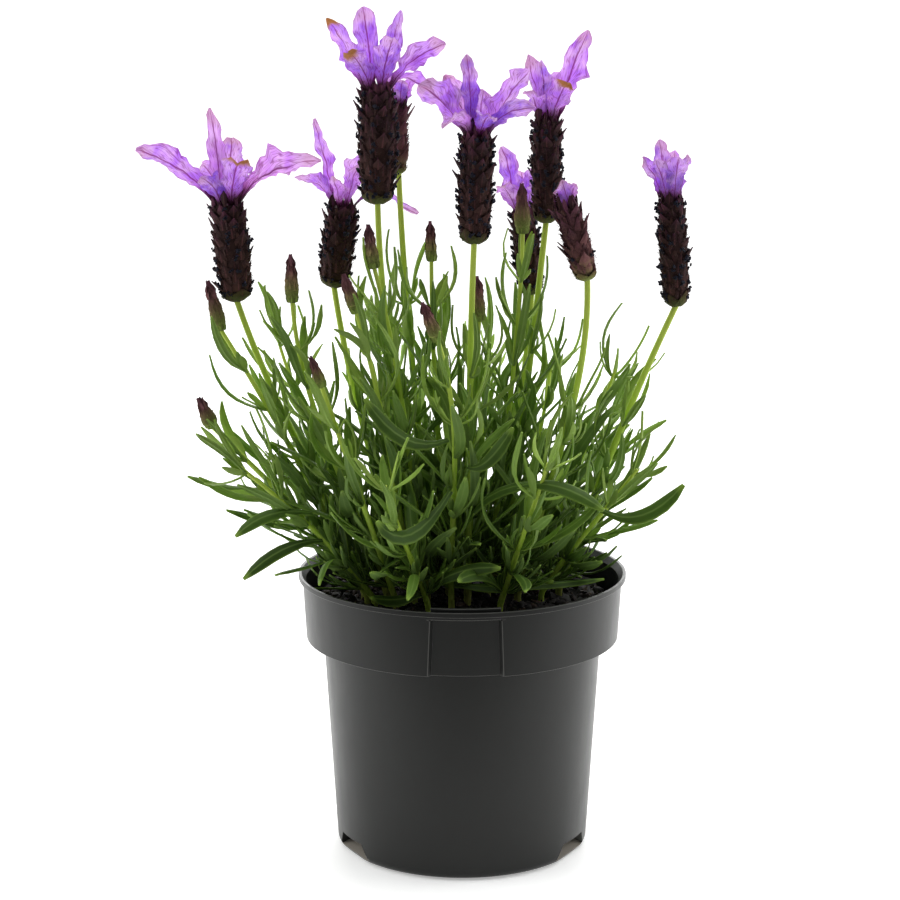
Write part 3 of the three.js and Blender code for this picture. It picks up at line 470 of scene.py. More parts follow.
# The pot: a thin turned wall with a lip, a deep collar, two label recesses and three drainage cuts.
pot = {
    "height": 120, "lipRadius": 70, "lipHeight": 2.1, "lipTop": 1.3, "lipSlope": 3,
    "collarTopRadius": 68.3, "collarFootRadius": 66.8, "collarFoot": 92,
    "bodyTopRadius": 59.5, "bodyFootRadius": 54.1, "baseRadius": 50.4, "cornerHeight": 4.5,
    "heel": (54.2, 0.9),      # where the base would meet the wall with no rounding
    "heelTop": 4, "heelSteps": 6,
    "wall": 1.4, "floor": 2, "innerFootRadius": 45, "innerHeelHeight": 11,
    "steps": 240,             # round the pot
    "edge": 0.35,             # radius that every moulded edge is rounded by
    "edgeSteps": 3,
    "sharp": (32, 35),        # degrees past which an edge is rounded, and past which it stays crisp
    "mouldLine": 11.9,        # height of the faint line where the tool's base meets its sides
    "mouldLineOut": 0.06, "mouldLineHeight": 0.6,
}
recess = {"angles": (-89, 91), "depth": 2.3, "roof": 116.4,
          # where the recess floor and the collar round it end, below the roof and at the foot
          "floorAngle": (11.5, 12.5), "edgeAngle": (12.3, 13.4),
          "tabHeight": 1.2, "tabWidth": 1.7, "tabHalfAngle": 12.2, "tabSteps": 16,
          "gateMark": (0.55, 0.5, 117.4)}  # radius, how far it stands out and height of the moulding mark
drain = {"angles": (-151.5, -28.5, 90), "topHalfWidth": 8.6, "footHalfWidth": 14,
         # radius and height of each cut's outline: under the wall, down a ramp and back below the base
         "outline": [(60, 8.4), (47.5, 8.4), (47.5, 3.9), (52.2, 1.7), (50.4, -0.6), (60, -0.6)]}


def wallRadius(height):
    # outside of the body, which narrows to its foot
    share = (height - pot["cornerHeight"]) / (pot["collarFoot"] - pot["cornerHeight"])
    return mix(pot["bodyFootRadius"], pot["bodyTopRadius"], share)


def collarRadius(height):
    share = (height - pot["collarFoot"]) / (pot["height"] - pot["lipHeight"] - pot["collarFoot"])
    return mix(pot["collarFootRadius"], pot["collarTopRadius"], share)


def heelCurve():
    # rounds the corner between the base and the wall
    start, corner = Vector((pot["baseRadius"], 0)), Vector(pot["heel"])
    end = Vector((wallRadius(pot["heelTop"]), pot["heelTop"]))
    steps = [i / pot["heelSteps"] for i in range(pot["heelSteps"] + 1)]
    return [tuple(curvePoint(start, corner, end, t)) for t in steps]


def potProfile():
    # radius and height of the wall's outline, from the middle of the base, up the outside and down the inside
    wall, line, half = pot["wall"], pot["mouldLine"], pot["mouldLineHeight"] / 2
    lipFoot, roof = pot["height"] - pot["lipHeight"], recess["roof"]
    outside = [(0, 0)] + heelCurve() + [
        (wallRadius(line - half), line - half),
        (wallRadius(line) + pot["mouldLineOut"], line),
        (wallRadius(line + half), line + half),
        (pot["bodyTopRadius"], pot["collarFoot"]),
        (pot["collarFootRadius"], pot["collarFoot"]),
        (collarRadius(roof - 0.5), roof - 0.5),
        (collarRadius(roof), roof),
        (pot["collarTopRadius"], lipFoot),
        (pot["lipRadius"], lipFoot),
        (pot["lipRadius"], pot["height"]),
    ]
    inside = [
        (pot["lipRadius"] - pot["lipTop"], pot["height"]),
        (collarRadius(roof) - wall, pot["height"] - pot["lipSlope"]),
        (collarRadius(roof) - wall, roof),
        (collarRadius(roof - 0.5) - wall, roof - 0.5),
        (pot["collarFootRadius"] - wall, pot["collarFoot"] + wall),
        (pot["bodyTopRadius"] - wall, pot["collarFoot"] + wall),
        (wallRadius(pot["innerHeelHeight"]) - wall, pot["innerHeelHeight"]),
        (pot["innerFootRadius"], pot["floor"]),
        (0, pot["floor"]),
    ]
    return outside + inside


def turnedShape(profile, steps, start=0.0, angle=math.tau):
    # an outline of (radius, height) pairs spun round the pot's axis; a part turn has its ends filled
    bm = bmesh.new()
    verts = [bm.verts.new((r * math.cos(start) * mm, r * math.sin(start) * mm, z * mm)) for r, z in profile]
    edges = [bm.edges.new(pair) for pair in zip(verts, verts[1:])]
    bmesh.ops.spin(bm, geom=verts + edges, cent=(0, 0, 0), axis=(0, 0, 1), angle=angle, steps=steps,
                   use_merge=angle == math.tau)
    bmesh.ops.remove_doubles(bm, verts=bm.verts, dist=0.01 * mm)
    bmesh.ops.holes_fill(bm, edges=[e for e in bm.edges if e.is_boundary], sides=0)
    bmesh.ops.recalc_face_normals(bm, faces=bm.faces)
    return keepShape("turnedShape", bm)


def pushRecesses(bm):
    # the moulded wall steps inward at each recess, and the step's sides part a little towards the foot
    for vert in bm.verts:
        x, y, z = vert.co / mm
        radius = math.hypot(x, y)
        if not pot["collarFoot"] - 0.2 < z < recess["roof"] - 0.2 or radius < pot["bodyTopRadius"] + 0.1:
            continue
        turned = math.degrees(math.atan2(y, x))
        aside = min(((turned - angle + 180) % 360 - 180 for angle in recess["angles"]), key=abs)
        column = round(abs(aside) * pot["steps"] / 360)
        last = int(recess["floorAngle"][1] * pot["steps"] / 360)
        if column > last + 1:
            continue
        fall = (recess["roof"] - z) / (recess["roof"] - pot["collarFoot"])
        if column >= last:
            shifted = mix(*recess["floorAngle" if column == last else "edgeAngle"], fall)
            turned += math.copysign(shifted, aside) - aside
        depth = recess["depth"] if column <= last else 0
        vert.co = Matrix.Rotation(math.radians(turned), 3, "Z") @ Vector((radius - depth, 0, z)) * mm


def addTabs(bm):
    # the low tab on the lip behind each recess, and the mark the moulding gate left below it
    outer = pot["lipRadius"] - pot["lipTop"] - 1
    low = pot["height"] - recess["tabWidth"]
    high = pot["height"] + recess["tabHeight"]
    corners = [(outer - recess["tabWidth"], low), (outer, low), (outer, high),
               (outer - recess["tabWidth"], high), (outer - recess["tabWidth"], low)]
    half = math.radians(recess["tabHalfAngle"])
    markRadius, markOut, markHeight = recess["gateMark"]
    for angle in recess["angles"]:
        copyIn(bm, turnedShape(corners, recess["tabSteps"], math.radians(angle) - half, 2 * half))
        mark = bmesh.new()
        bmesh.ops.create_cone(mark, cap_ends=True, segments=12, radius1=markRadius * mm,
                              radius2=markRadius * 0.6 * mm, depth=2 * markOut * mm)
        place = Matrix.Translation((collarRadius(markHeight) * mm, 0, markHeight * mm))
        turn = Matrix.Rotation(math.radians(angle), 4, "Z") @ place @ Matrix.Rotation(math.pi / 2, 4, "Y")
        bmesh.ops.transform(mark, verts=mark.verts, matrix=turn)
        copyIn(bm, keepShape("gateMark", mark))


def drainCutter():
    # one prism for each drainage cut, wider at its foot, that a Boolean modifier takes out of the pot
    bm = bmesh.new()
    high = drain["outline"][0][1]
    for angle in drain["angles"]:
        before = len(bm.verts)
        rim = [bm.verts.new((r, -1, z)) for r, z in drain["outline"]]
        edges = [bm.edges.new(pair) for pair in zip(rim, rim[1:] + rim[:1])]
        side = bmesh.ops.edgeloop_fill(bm, edges=edges)["faces"]
        pulled = bmesh.ops.extrude_face_region(bm, geom=side, use_keep_orig=True)["geom"]
        across = [part for part in pulled if isinstance(part, bmesh.types.BMVert)]
        bmesh.ops.translate(bm, verts=across, vec=(0, 2, 0))
        bm.verts.ensure_lookup_table()
        turn = Matrix.Scale(mm, 4) @ Matrix.Rotation(math.radians(angle), 4, "Z")
        for vert in bm.verts[before:]:
            vert.co.y *= mix(drain["footHalfWidth"], drain["topHalfWidth"], vert.co.z / high)
            vert.co = turn @ vert.co
    bmesh.ops.recalc_face_normals(bm, faces=bm.faces)
    return bpy.data.objects.new("drainCutter", keepShape("drainCutter", bm))


def markPaintedLight(mesh):
    # marks where light is painted on the pot: a painted highlight on the narrow faces of the rounded
    # outer edges, and painted light on the drainage cuts' ramps
    bm = bmesh.new()
    bm.from_mesh(mesh)
    paintedLight = mesh.attributes.new("paintedLight", "FLOAT", "FACE")
    innerRadius, innerHeight = drain["outline"][2]
    for face in bm.faces:
        narrow = min(edge.calc_length() for edge in face.edges) < 0.6 * pot["edge"] * mm
        bend = sum(edge.calc_length() * edge.calc_face_angle_signed(0) for edge in face.edges)
        standsOut = bend > 0.1 * face.calc_perimeter()
        x, y, z = face.calc_center_median() / mm
        ramp = z < innerHeight and face.normal.z > 0.7 and math.hypot(x, y) > innerRadius
        # 1 for a painted highlight on a rounded edge, 2 for painted light on a drainage cut's ramp
        paintedLight.data[face.index].value = 2 if ramp else 1 if narrow and standsOut else 0
    bm.free()


def makePot():
    bm = startPiece()
    copyIn(bm, turnedShape(potProfile(), pot["steps"], math.radians(recess["angles"][0])))
    pushRecesses(bm)
    addTabs(bm)
    piece = finishPiece("nurseryPot", bm, ["plastic"], "pot", pot["sharp"][0])
    rounded = piece.modifiers.new("roundedEdges", "BEVEL")
    rounded.width = pot["edge"] * mm
    rounded.segments = pot["edgeSteps"]
    rounded.limit_method = "ANGLE"
    rounded.angle_limit = math.radians(pot["sharp"][0])
    cutter = drainCutter()
    bpy.context.scene.collection.objects.link(cutter)
    cut = piece.modifiers.new("drainCuts", "BOOLEAN")
    cut.operation = "DIFFERENCE"
    cut.solver = "EXACT"
    cut.object = cutter
    applyModifiers(piece)
    bpy.data.objects.remove(cutter)
    piece.data.set_sharp_from_angle(angle=math.radians(pot["sharp"][1]))
    # the large faces keep their own shading up to the rounded edges
    flat = piece.modifiers.new("flatShading", "WEIGHTED_NORMAL")
    flat.keep_sharp = True
    applyModifiers(piece)
    markPaintedLight(piece.data)


makePot()
print("pot made")


# Soil: an uneven filling with crumbs of peat and bark over it.
soil = {"level": 108, "relief": 1.6, "wallGap": 0.55, "steps": 96, "rings": 26, "roughness": 1.1,
        "crumbs": 1500, "crumbSize": (0.6, 2.4), "chips": 130, "chipLength": (3, 9), "chipWidth": (0.8, 2.2),
        "shapes": 4, "clear": 0.3, "edgeGap": 3}  # clear of the pot's floor, and of its wall for the crumbs


def soilHeight(x, y):
    broad = math.sin(x * 0.31 + 1.3) * math.cos(y * 0.27 - 0.6)
    return soil["level"] + soil["relief"] * (broad + 0.5 * math.sin(x * 0.12 - y * 0.19)) / 1.5


def soilProfile():
    gap = pot["wall"] + soil["wallGap"]
    top = pot["collarFootRadius"] - gap - recess["depth"]
    ledge = pot["collarFoot"] + pot["wall"] + soil["clear"]
    heel = pot["innerHeelHeight"]
    outline = [
        (0, pot["floor"] + soil["clear"]),
        (pot["innerFootRadius"] - 1, pot["floor"] + soil["clear"]),
        (wallRadius(heel) - gap - 0.5, heel + soil["clear"]),
        (wallRadius(pot["collarFoot"]) - gap, ledge),
        (top, ledge),
    ]
    return outline + [(top * (1 - i / soil["rings"]), soil["level"]) for i in range(soil["rings"] + 1)]


def crumbShape(random):
    bm = startPiece()
    bmesh.ops.create_icosphere(bm, subdivisions=1, radius=1)
    for vert in bm.verts:
        vert.co *= random(0.65, 1.25)
    return keepShape("crumb", bm)


def placeLump(bm, shape, place, turn, size, chance, material=0, age=0.0):
    # place and size in millimetres
    matrix = Matrix.Translation(place * mm) @ turn @ Matrix.Diagonal((*(size * mm), 1))
    for vert in copyIn(bm, shape, material, age, chance):
        vert.co = matrix @ vert.co


def turnedAnyway(random):
    return Matrix.Rotation(random(0, math.tau), 4, "Z") @ Matrix.Rotation(random(-1.2, 1.2), 4, "X")


def makeSoil():
    random = makeRandom("soil")
    bm = startPiece()
    for vert in copyIn(bm, turnedShape(soilProfile(), soil["steps"]), chance=0.3):
        if vert.co.z > (soil["level"] - 0.5) * mm:
            x, y = vert.co.x / mm, vert.co.y / mm
            vert.co.z = (soilHeight(x, y) + random(-1, 1) * soil["roughness"]) * mm
    crumbs = [crumbShape(random) for _ in range(soil["shapes"])]
    reach = pot["collarFootRadius"] - pot["wall"] - recess["depth"] - soil["edgeGap"]
    for i in range(soil["crumbs"] + soil["chips"]):
        out, turn = reach * math.sqrt(random(0, 1)), random(0, math.tau)
        x, y = out * math.cos(turn), out * math.sin(turn)
        if i < soil["crumbs"]:
            low, high = soil["crumbSize"]
            size = mix(low, high, random(0, 1) ** 3)
            size = Vector((random(0.7, 1.4), random(0.7, 1.4), random(0.5, 1))) * size
        else:
            size = Vector((random(*soil["chipLength"]), random(*soil["chipWidth"]), random(0.3, 0.8))) * 0.5
        place = Vector((x, y, soilHeight(x, y) + size.z * 0.4 + soil["roughness"] * 0.3))
        chance = random(0.1, 1.3) if i < soil["crumbs"] else random(0.6, 1.5)
        placeLump(bm, crumbs[i % soil["shapes"]], place, turnedAnyway(random), size, chance)
    finishPiece("pottingSoil", bm, ["peat"], "potting_soil", 60)


makeSoil()
print("soil made")


# The plant's layout, as in the model: every shoot's tip, the lean there, and the heads and bracts on it.
flowers = [
    {"foot": (-94, -8, 238), "top": (-97, -8, 278), "width": 16, "lean": (-0.32, 0),
     "bracts": [(39, -6, 18, 10.5), (1, 15, 26, 8), (-7, 4, 39, 6), (-12, 17, 15, 7), (-38, 5, 22, 8.5),
                (6, -16, 19, 9.5), (-9, -15, 12, 7)]},
    {"foot": (-55, 26, 239), "top": (-51, 26, 273), "width": 15, "lean": (-0.14, 0.1),
     "bracts": [(32, 7, -4, 8), (8, 15, 21, 7), (-12, 3, 37, 6), (-20, -5, 13, 7), (-3, -16, 14, 6),
                (7, -12, 19, 6)]},
    {"foot": (-35, -12, 279), "top": (-35, -12, 325), "width": 16.5, "lean": (-0.02, 0),
     "bracts": [(28, -6, 19, 7.5), (26, 10, -5, 5), (10, 14, 31, 7), (-6, 12, 33, 7.5), (-20, -5, 29, 8.5),
                (-11, -18, 16, 8), (7, -16, 22, 9)]},
    {"foot": (-27, 23, 288), "top": (-27, 24, 316), "width": 9, "lean": (-0.04, 0.06),
     "bracts": [(6, 2, 12, 5), (-2, 7, 13, 5), (-6, -2, 12, 5), (2, -6, 11, 5)]},
    {"foot": (4.5, -32, 265), "top": (5.5, -31, 308), "width": 15, "lean": (0.04, -0.1),
     "bracts": [(23, -12, 12, 6), (21, 3, 26, 11), (3, 15, 17, 7), (-4, 6, 32, 5), (-13, 14, 23, 8),
                (-14, -17, 5, 6), (-23, -8, 21, 10.5), (6, -19, 9, 7)]},
    {"foot": (30, 32, 235), "top": (26, 31, 270), "width": 12.5, "lean": (0.06, 0.14),
     "bracts": [(8, 9, 18, 8), (0, 15, 16, 8), (-9, 1, 28, 9), (-10, -12, 13, 7), (5, -13, 15, 6)]},
    {"foot": (35, 6, 269), "top": (35, 6, 311), "width": 13.5, "lean": (0.1, 0),
     "bracts": [(17, 2, 37, 9.5), (6, 17, 19, 7.5), (-2, 13, 24, 6), (-8, 3, 27, 5), (-9, -9, 13, 7),
                (8, -14, 17, 8.5)]},
    {"foot": (51, -22, 249), "top": (42, -26, 279), "width": 12, "lean": (-0.05, -0.05),
     "bracts": [(4, 1, 9, 4.5), (0, 4, 9, 4.5), (-5, 0, 6, 4.5), (-2, -4, 11, 5)]},
    {"foot": (90, 4, 234), "top": (87, 4, 278), "width": 13, "lean": (0.46, 0),
     "bracts": [(7, -1, 19, 6), (2, 9, 20, 6.5), (-5, 4, 25, 6), (-12, 2, 18, 5.5), (-7, -9, 18, 6),
                (2, -10, 19, 6.5)]},
]
buds = [
    {"foot": (-70, -22, 239), "top": (-70.5, -22, 258), "width": 6.4, "lean": (-0.06, 0)},
    {"foot": (-100, -14, 226), "top": (-105, -14, 246), "width": 6.6, "lean": (-0.6, 0)},
    {"foot": (-104, -18, 186), "top": (-109, -20, 198), "width": 7.4, "lean": (-0.95, -0.1)},
    {"foot": (-36, -29, 254), "top": (-38.5, -29, 271), "width": 5.8, "lean": (-0.26, -0.08)},
    {"foot": (-13, 0, 253), "top": (-13.5, 0, 269), "width": 5, "lean": (0, 0)},
    {"foot": (-43, -38, 237), "top": (-48, -38, 252), "width": 6, "lean": (-0.28, -0.1)},
    {"foot": (-10, -52, 228), "top": (-16, -54, 243), "width": 6, "lean": (-0.3, -0.2)},
    {"foot": (7, -8, 229), "top": (6, -8, 247), "width": 6, "lean": (0.08, 0)},
    {"foot": (25, -2, 265), "top": (24.5, -2, 285), "width": 7.4, "lean": (0.02, 0)},
    {"foot": (-57, -46, 208), "top": (-61, -47, 220), "width": 4.6, "lean": (-0.32, -0.15)},
]
leafyShoots = [
    {"foot": (-91, -38, 173), "lean": (-1.1, -0.35)},
    {"foot": (73, -18, 168), "lean": (0.7, -0.1)},
    {"foot": (39, 46, 201), "lean": (0.1, 0.3)},
    {"foot": (-80, 36, 214), "lean": (-0.3, 0.2)},
    {"foot": (12, 74, 205), "lean": (0.05, 0.5)},
    {"foot": (66, 24, 203), "lean": (0.35, 0.2)},
    {"foot": (-31, -68, 172), "lean": (-0.2, -0.6)},
    {"foot": (-38, 72, 203), "lean": (-0.2, 0.5)},
    {"foot": (34, -62, 180), "lean": (0.25, -0.5)},
    {"foot": (-8, 52, 212), "lean": (0, 0.2)},
    {"foot": (66, 58, 172), "lean": (0.6, 0.6)},
]
groups = {"flower": flowers, "bud": buds, "leafy": leafyShoots}
shoots = [{**shoot, "kind": kind, "number": i + 1} for kind in groups for i, shoot in enumerate(groups[kind])]

stem = {"sunk": 12, "straight": 4, "spacing": 8.5, "footShare": 0.46, "footLimit": 42,
        "lowerPull": 0.3, "upperPull": 0.36, "samples": 24, "pushes": 200, "push": 0.25}
kinds = {
    "flower": {"footSide": 3.1, "tipSide": 2.3, "bare": 56},
    "bud": {"footSide": 2.7, "tipSide": 1.6, "bare": 20},
    "leafy": {"footSide": 2.6, "tipSide": 1.3, "bare": 3},
}
leaf = {
    "firstPair": 12, "pairSpacing": 13.8,
    "length": (45, 29), "width": (6, 4.2), "angle": (70, 24), "rise": (-0.5, 0.3),
    "spread": 0.16, "twist": 50, "crowding": 0.3, "longLeaf": 42, "tipReach": 0.1,
    "stations": (0, 0.17, 0.68, 1), "longStations": (0, 0.14, 0.42, 0.76, 1),
}
# swing round the stem, lift, and share of the length: what the model tries for a leaf that lacks room
detours = [
    (0, 0, 1), (16, 0, 1), (-16, 0, 1), (0, -14, 0.95), (30, 4, 0.9), (-30, 4, 0.9), (12, 14, 0.85),
    (-12, 14, 0.85), (38, -10, 0.75), (-38, -10, 0.75), (0, 8, 0.62), (22, -16, 0.55), (-22, -16, 0.55),
]


def numbered(name, shoot):
    return f'{name}{shoot["number"]:02d}'


def spreadFeet():
    # feet start on the line from the pot's middle to each tip, and push each other apart
    feet = [[s["foot"][0] * stem["footShare"], s["foot"][1] * stem["footShare"]] for s in shoots]
    for _ in range(stem["pushes"]):
        for i in range(len(feet)):
            for j in range(i):
                dx, dy = feet[i][0] - feet[j][0], feet[i][1] - feet[j][1]
                gap = math.sqrt(dx * dx + dy * dy)
                if gap >= stem["spacing"]:
                    continue
                push = stem["push"] * (stem["spacing"] - gap) / gap
                feet[i] = [feet[i][0] + dx * push, feet[i][1] + dy * push]
                feet[j] = [feet[j][0] - dx * push, feet[j][1] - dy * push]
        for foot in feet:
            out = math.sqrt(foot[0] * foot[0] + foot[1] * foot[1])
            if out > stem["footLimit"]:
                foot[0] *= stem["footLimit"] / out
                foot[1] *= stem["footLimit"] / out
    return feet


def runOf(foot, shoot):
    # a stem's points with the distance walked at each
    low = Vector((*foot, soil["level"] + stem["straight"]))
    tip = Vector(shoot["foot"])
    reach = (tip - low).length
    away = Vector((tip.x - low.x, tip.y - low.y, 0)) / reach
    lower = low + Vector((away.x, away.y, 1)) * stem["lowerPull"] * reach
    lean = Vector((*shoot["lean"], 1)).normalized()
    upper = tip - lean * stem["upperPull"] * reach
    points = [Vector((*foot, soil["level"] - stem["sunk"]))]
    for i in range(stem["samples"] + 1):
        t = i / stem["samples"]
        weights = ((1 - t) ** 3, 3 * (1 - t) ** 2 * t, 3 * (1 - t) * t * t, t ** 3)
        points.append(sum((p * w for p, w in zip((low, lower, upper, tip), weights)), Vector()))
    walked = [0]
    for before, after in zip(points, points[1:]):
        walked.append(walked[-1] + (after - before).length)
    return {"points": points, "walked": walked, "length": walked[-1]}


def pointOn(run, distance):
    # a point at a distance along a stem, and the way the stem heads there
    points, walked = run["points"], run["walked"]
    i = 1
    while i < len(points) - 1 and walked[i] < distance:
        i += 1
    a, b = points[i - 1], points[i]
    share = (distance - walked[i - 1]) / (walked[i] - walked[i - 1])
    before = points[i - 2] if i > 1 else a
    after = points[i + 1] if i < len(points) - 1 else b
    here = (b - a).normalized()
    turn = a - before if share < 0.5 else after - b
    if turn.length > 0:
        here = (here + turn.normalized() * abs(share - 0.5)).normalized()
    return a.lerp(b, share), here


def stemFrame(direction, start):
    first = (start - direction * start.dot(direction)).normalized()
    second = direction.cross(first)
    return [first, second, -first, -second]


def leafSpots(shoot, random):
    # opposite pairs, each a quarter turn from the one below
    kind = kinds[shoot["kind"]]
    run = shoot["run"]
    low, high = stem["sunk"] + leaf["firstPair"], run["length"] - kind["bare"]
    pairs = max(2, int((high - low) / leaf["pairSpacing"] + 0.5) + 1)
    spots = []
    for pair in range(pairs):
        height = pair / (pairs - 1)
        crowded = height * (1 - leaf["crowding"] + leaf["crowding"] * height)
        distance = mix(low, high, crowded)
        if 0 < pair < pairs - 1:
            distance += random(-1.5, 1.5)
        point, direction = pointOn(run, distance)
        normals = stemFrame(direction, shoot["turn"])
        for face in (pair % 2, pair % 2 + 2):
            spots.append({
                "height": height,
                "point": point,
                "direction": direction,
                "stemSide": mix(kind["footSide"], kind["tipSide"], distance / run["length"]),
                "normal": normals[face],
                "length": mix(*leaf["length"], height) * random(1 - leaf["spread"], 1 + leaf["spread"]),
                "width": mix(*leaf["width"], height) * random(1 - leaf["spread"], 1 + leaf["spread"]),
                "angle": mix(*leaf["angle"], math.sqrt(height)) + random(-7, 7),
                "rise": mix(*leaf["rise"], height) + random(-0.2, 0.2),
                "twist": random(-leaf["twist"], leaf["twist"]),
            })
    return spots


def leafLine(spot, detour, stations):
    # a leaf's middle line: points, headings and the direction across it at each station
    swing, lift, share = detour
    psi, alpha = math.radians(swing), math.radians(spot["angle"] + lift)
    direction, normal = spot["direction"], spot["normal"]
    out = normal * math.cos(psi) + direction.cross(normal) * math.sin(psi)
    start = direction * math.cos(alpha) + out * math.sin(alpha)
    headings = [(start + up * spot["rise"] * s).normalized() for s in stations]
    points = [spot["point"] + normal * spot["stemSide"] / 2]
    for i in range(1, len(stations)):
        step = spot["length"] * share * (stations[i] - stations[i - 1])
        points.append(points[-1] + (headings[i - 1] + headings[i]).normalized() * step)
    level = direction.cross(out)
    acrosses = []
    for heading, s in zip(headings, stations):
        across = (level - heading * level.dot(heading)).normalized()
        across.rotate(Quaternion(heading, math.radians(spot["twist"]) * s))
        acrosses.append(across)
    return points, headings, acrosses


def detourTaken(spot, solid):
    # the way this leaf went in the model, read from where its solid has a tip, or None where it has none
    for detour in detours:
        isLong = spot["length"] * detour[2] > leaf["longLeaf"]
        points, _, _ = leafLine(spot, detour, leaf["longStations"] if isLong else leaf["stations"])
        if solid.find(points[-1])[2] < leaf["tipReach"]:
            return detour
    return None


def cornersOf(node):
    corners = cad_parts[node].data.vertices
    tree = KDTree(len(corners))
    for corner in corners:
        tree.insert(corner.co / mm, corner.index)
    tree.balance()
    return tree


feet = spreadFeet()
for i, shoot in enumerate(shoots):
    turn = makeRandom("turn", i)(0, math.pi / 2)
    shoot["turn"] = Vector((math.cos(turn), math.sin(turn), 0))
    shoot["run"] = runOf(feet[i], shoot)
    shoot["node"] = numbered(shoot["kind"] + "_shoot_", shoot)
    solid = cornersOf(shoot["node"])
    shoot["leaves"] = []
    for spot in leafSpots(shoot, makeRandom("leaves", i)):
        shoot["leaves"].append({**spot, "detour": detourTaken(spot, solid)})
grown = [l for shoot in shoots for l in shoot["leaves"]]
print("layout made:", sum(l["detour"] is not None for l in grown), "of", len(grown), "leaf spots are grown")


def bladeShape(name, columns, rows):
    # A unit blade: x from -1 to 1 across, y from 0 to 1 along, z 0 on its upper face and -1 on its lower.
    bm = bmesh.new()
    bm.loops.layers.uv.new("blade")
    under = bm.verts.layers.float.new("under")
    bmesh.ops.create_grid(bm, x_segments=columns, y_segments=rows, size=1, calc_uvs=True)
    halved = Matrix.Diagonal((1, 0.5, 1, 1))
    bmesh.ops.transform(bm, verts=bm.verts, matrix=halved @ Matrix.Translation((0, 1, 0)))
    shell = bmesh.ops.extrude_face_region(bm, geom=bm.faces[:], use_keep_orig=True)
    lower = [part for part in shell["geom"] if isinstance(part, bmesh.types.BMVert)]
    bmesh.ops.translate(bm, verts=lower, vec=(0, 0, -1))
    bmesh.ops.recalc_face_normals(bm, faces=bm.faces)
    for vert in lower:
        vert[under] = 1
    return keepShape(name, bm)


bladeColumns = {"leaf": 4, "smallLeaf": 2, "bract": 10, "scale": 4}
bladeRows = {"leaf": 8, "smallLeaf": 5, "bract": 20, "scale": 4}
blades = {blade: bladeShape(blade + "Blade", bladeColumns[blade], bladeRows[blade]) for blade in bladeRows}


def layBlade(bm, blade, frames, lift, age, chance, material):
    # Adds a blade bent along a line. A frame is (middle, heading, face, left half width, right half width),
    # its face being the way the upper side looks; lift gives a point's height over the line from its place
    # across and along, its half width and its side.
    for vert in copyIn(bm, blades[blade], material, age, chance):
        x, s, side = vert.co
        middle, heading, face, left, right = frames[round(s * bladeRows[blade])]
        half = left if x < 0 else right
        vert.co = (middle + heading.cross(face) * (x * half) + face * lift(x, s, half, side)) * mm


leafLook = {"thickness": 0.7, "ridge": 0.2, "midrib": 0.4, "roll": 0.3,
            "widths": ((0.78, 1.06), (0.56, 0.84)),  # low and high on a shoot, as shares of the layout's
            "sway": 0.11, "bow": (-0.15, 0.1), "flick": (-0.06, 0.26),  # as shares of the length
            "axilLeaves": (7, 2), "axilSwing": (-50, 50),
            "axil": {"length": (8, 25), "width": (1.8, 3.2), "angle": (10, 56), "rise": (-0.1, 0.5)}}


def leafWidth(s):
    # a narrow foot, widest past the middle, with a blunt tip
    return mix(0.34, 1, smooth(0, 0.5, s)) * math.sqrt(max(0.03, 1 - smooth(0.6, 1.05, s) ** 2))


def leafLift(x, s, half, side):
    away = abs(x)
    top = leafLook["ridge"] * math.sin(math.pi * away) - leafLook["roll"] * half * away ** 3
    thick = leafLook["thickness"] * (0.35 + 0.65 * (1 - away ** 2)) * mix(1, 0.6, s)
    return top + side * (thick + leafLook["midrib"] * (1 - away) ** 2)


def layLeaf(bm, blade, spot, detour, age, random):
    # follows the layout's line with a bow, a sway and a flicked tip of its own
    stations = [i / bladeRows[blade] for i in range(bladeRows[blade] + 1)]
    points, headings, acrosses = leafLine(spot, detour, stations)
    points[0] -= spot["normal"] * 0.5
    length = spot["length"] * detour[2]
    sway, wave = (random(-leafLook["sway"], leafLook["sway"]) * length for _ in range(2))
    bow, flick = random(*leafLook["bow"]) * length, random(*leafLook["flick"]) * length
    half = spot["width"] / 2
    if blade == "leaf":
        low, high = (random(*limits) for limits in leafLook["widths"])
        half *= mix(low, high, spot["height"])
    frames = []
    for point, heading, across, s in zip(points, headings, acrosses, stations):
        face = heading.cross(across)
        arch = math.sin(math.pi * s)
        shift = across * (sway * s * s + wave * 0.6 * arch) + face * (bow * arch + flick * s ** 3)
        frames.append((point + shift, heading, face, half * leafWidth(s), half * leafWidth(s)))
    layBlade(bm, blade, frames, leafLift, age, random(0, 1), 1)


def axilSpot(spot, random):
    # a small leaf of the tuft between a leaf and the stem
    return {**spot, **{part: random(*limits) for part, limits in leafLook["axil"].items()}}


def rodShape(name, sides, rows):
    # A unit rod from z 0 to 1 with closed ends, ringed so that it bends.
    bm = bmesh.new()
    bmesh.ops.create_cone(bm, cap_ends=True, segments=sides, radius1=1, radius2=1, depth=1)
    bmesh.ops.translate(bm, verts=bm.verts, vec=(0, 0, 0.5))
    rising = [e for e in bm.edges if abs(e.verts[0].co.z - e.verts[1].co.z) > 0.5]
    bmesh.ops.subdivide_edges(bm, edges=rising, cuts=rows - 1, use_grid_fill=True)
    return keepShape(name, bm)


stalkRod = rodShape("stalkRod", 12, 40)
headRod = rodShape("headRod", 16, 14)


def layStalk(bm, shoot):
    # a four-ridged stem from below the soil to the shoot's tip
    kind, run = kinds[shoot["kind"]], shoot["run"]
    age = bm.verts.layers.float["age"]
    places = {}
    for vert in copyIn(bm, stalkRod):
        x, y, share = vert.co
        if share not in places:
            point, direction = pointOn(run, share * run["length"])
            places[share] = point, stemFrame(direction, shoot["turn"])
        point, normals = places[share]
        side = mix(kind["footSide"], kind["tipSide"], share)
        squared = 1.12 - 0.12 * math.cos(4 * math.atan2(y, x))
        vert.co = (point + (normals[0] * x + normals[1] * y) * side / 2 * squared) * mm
        vert[age] = share


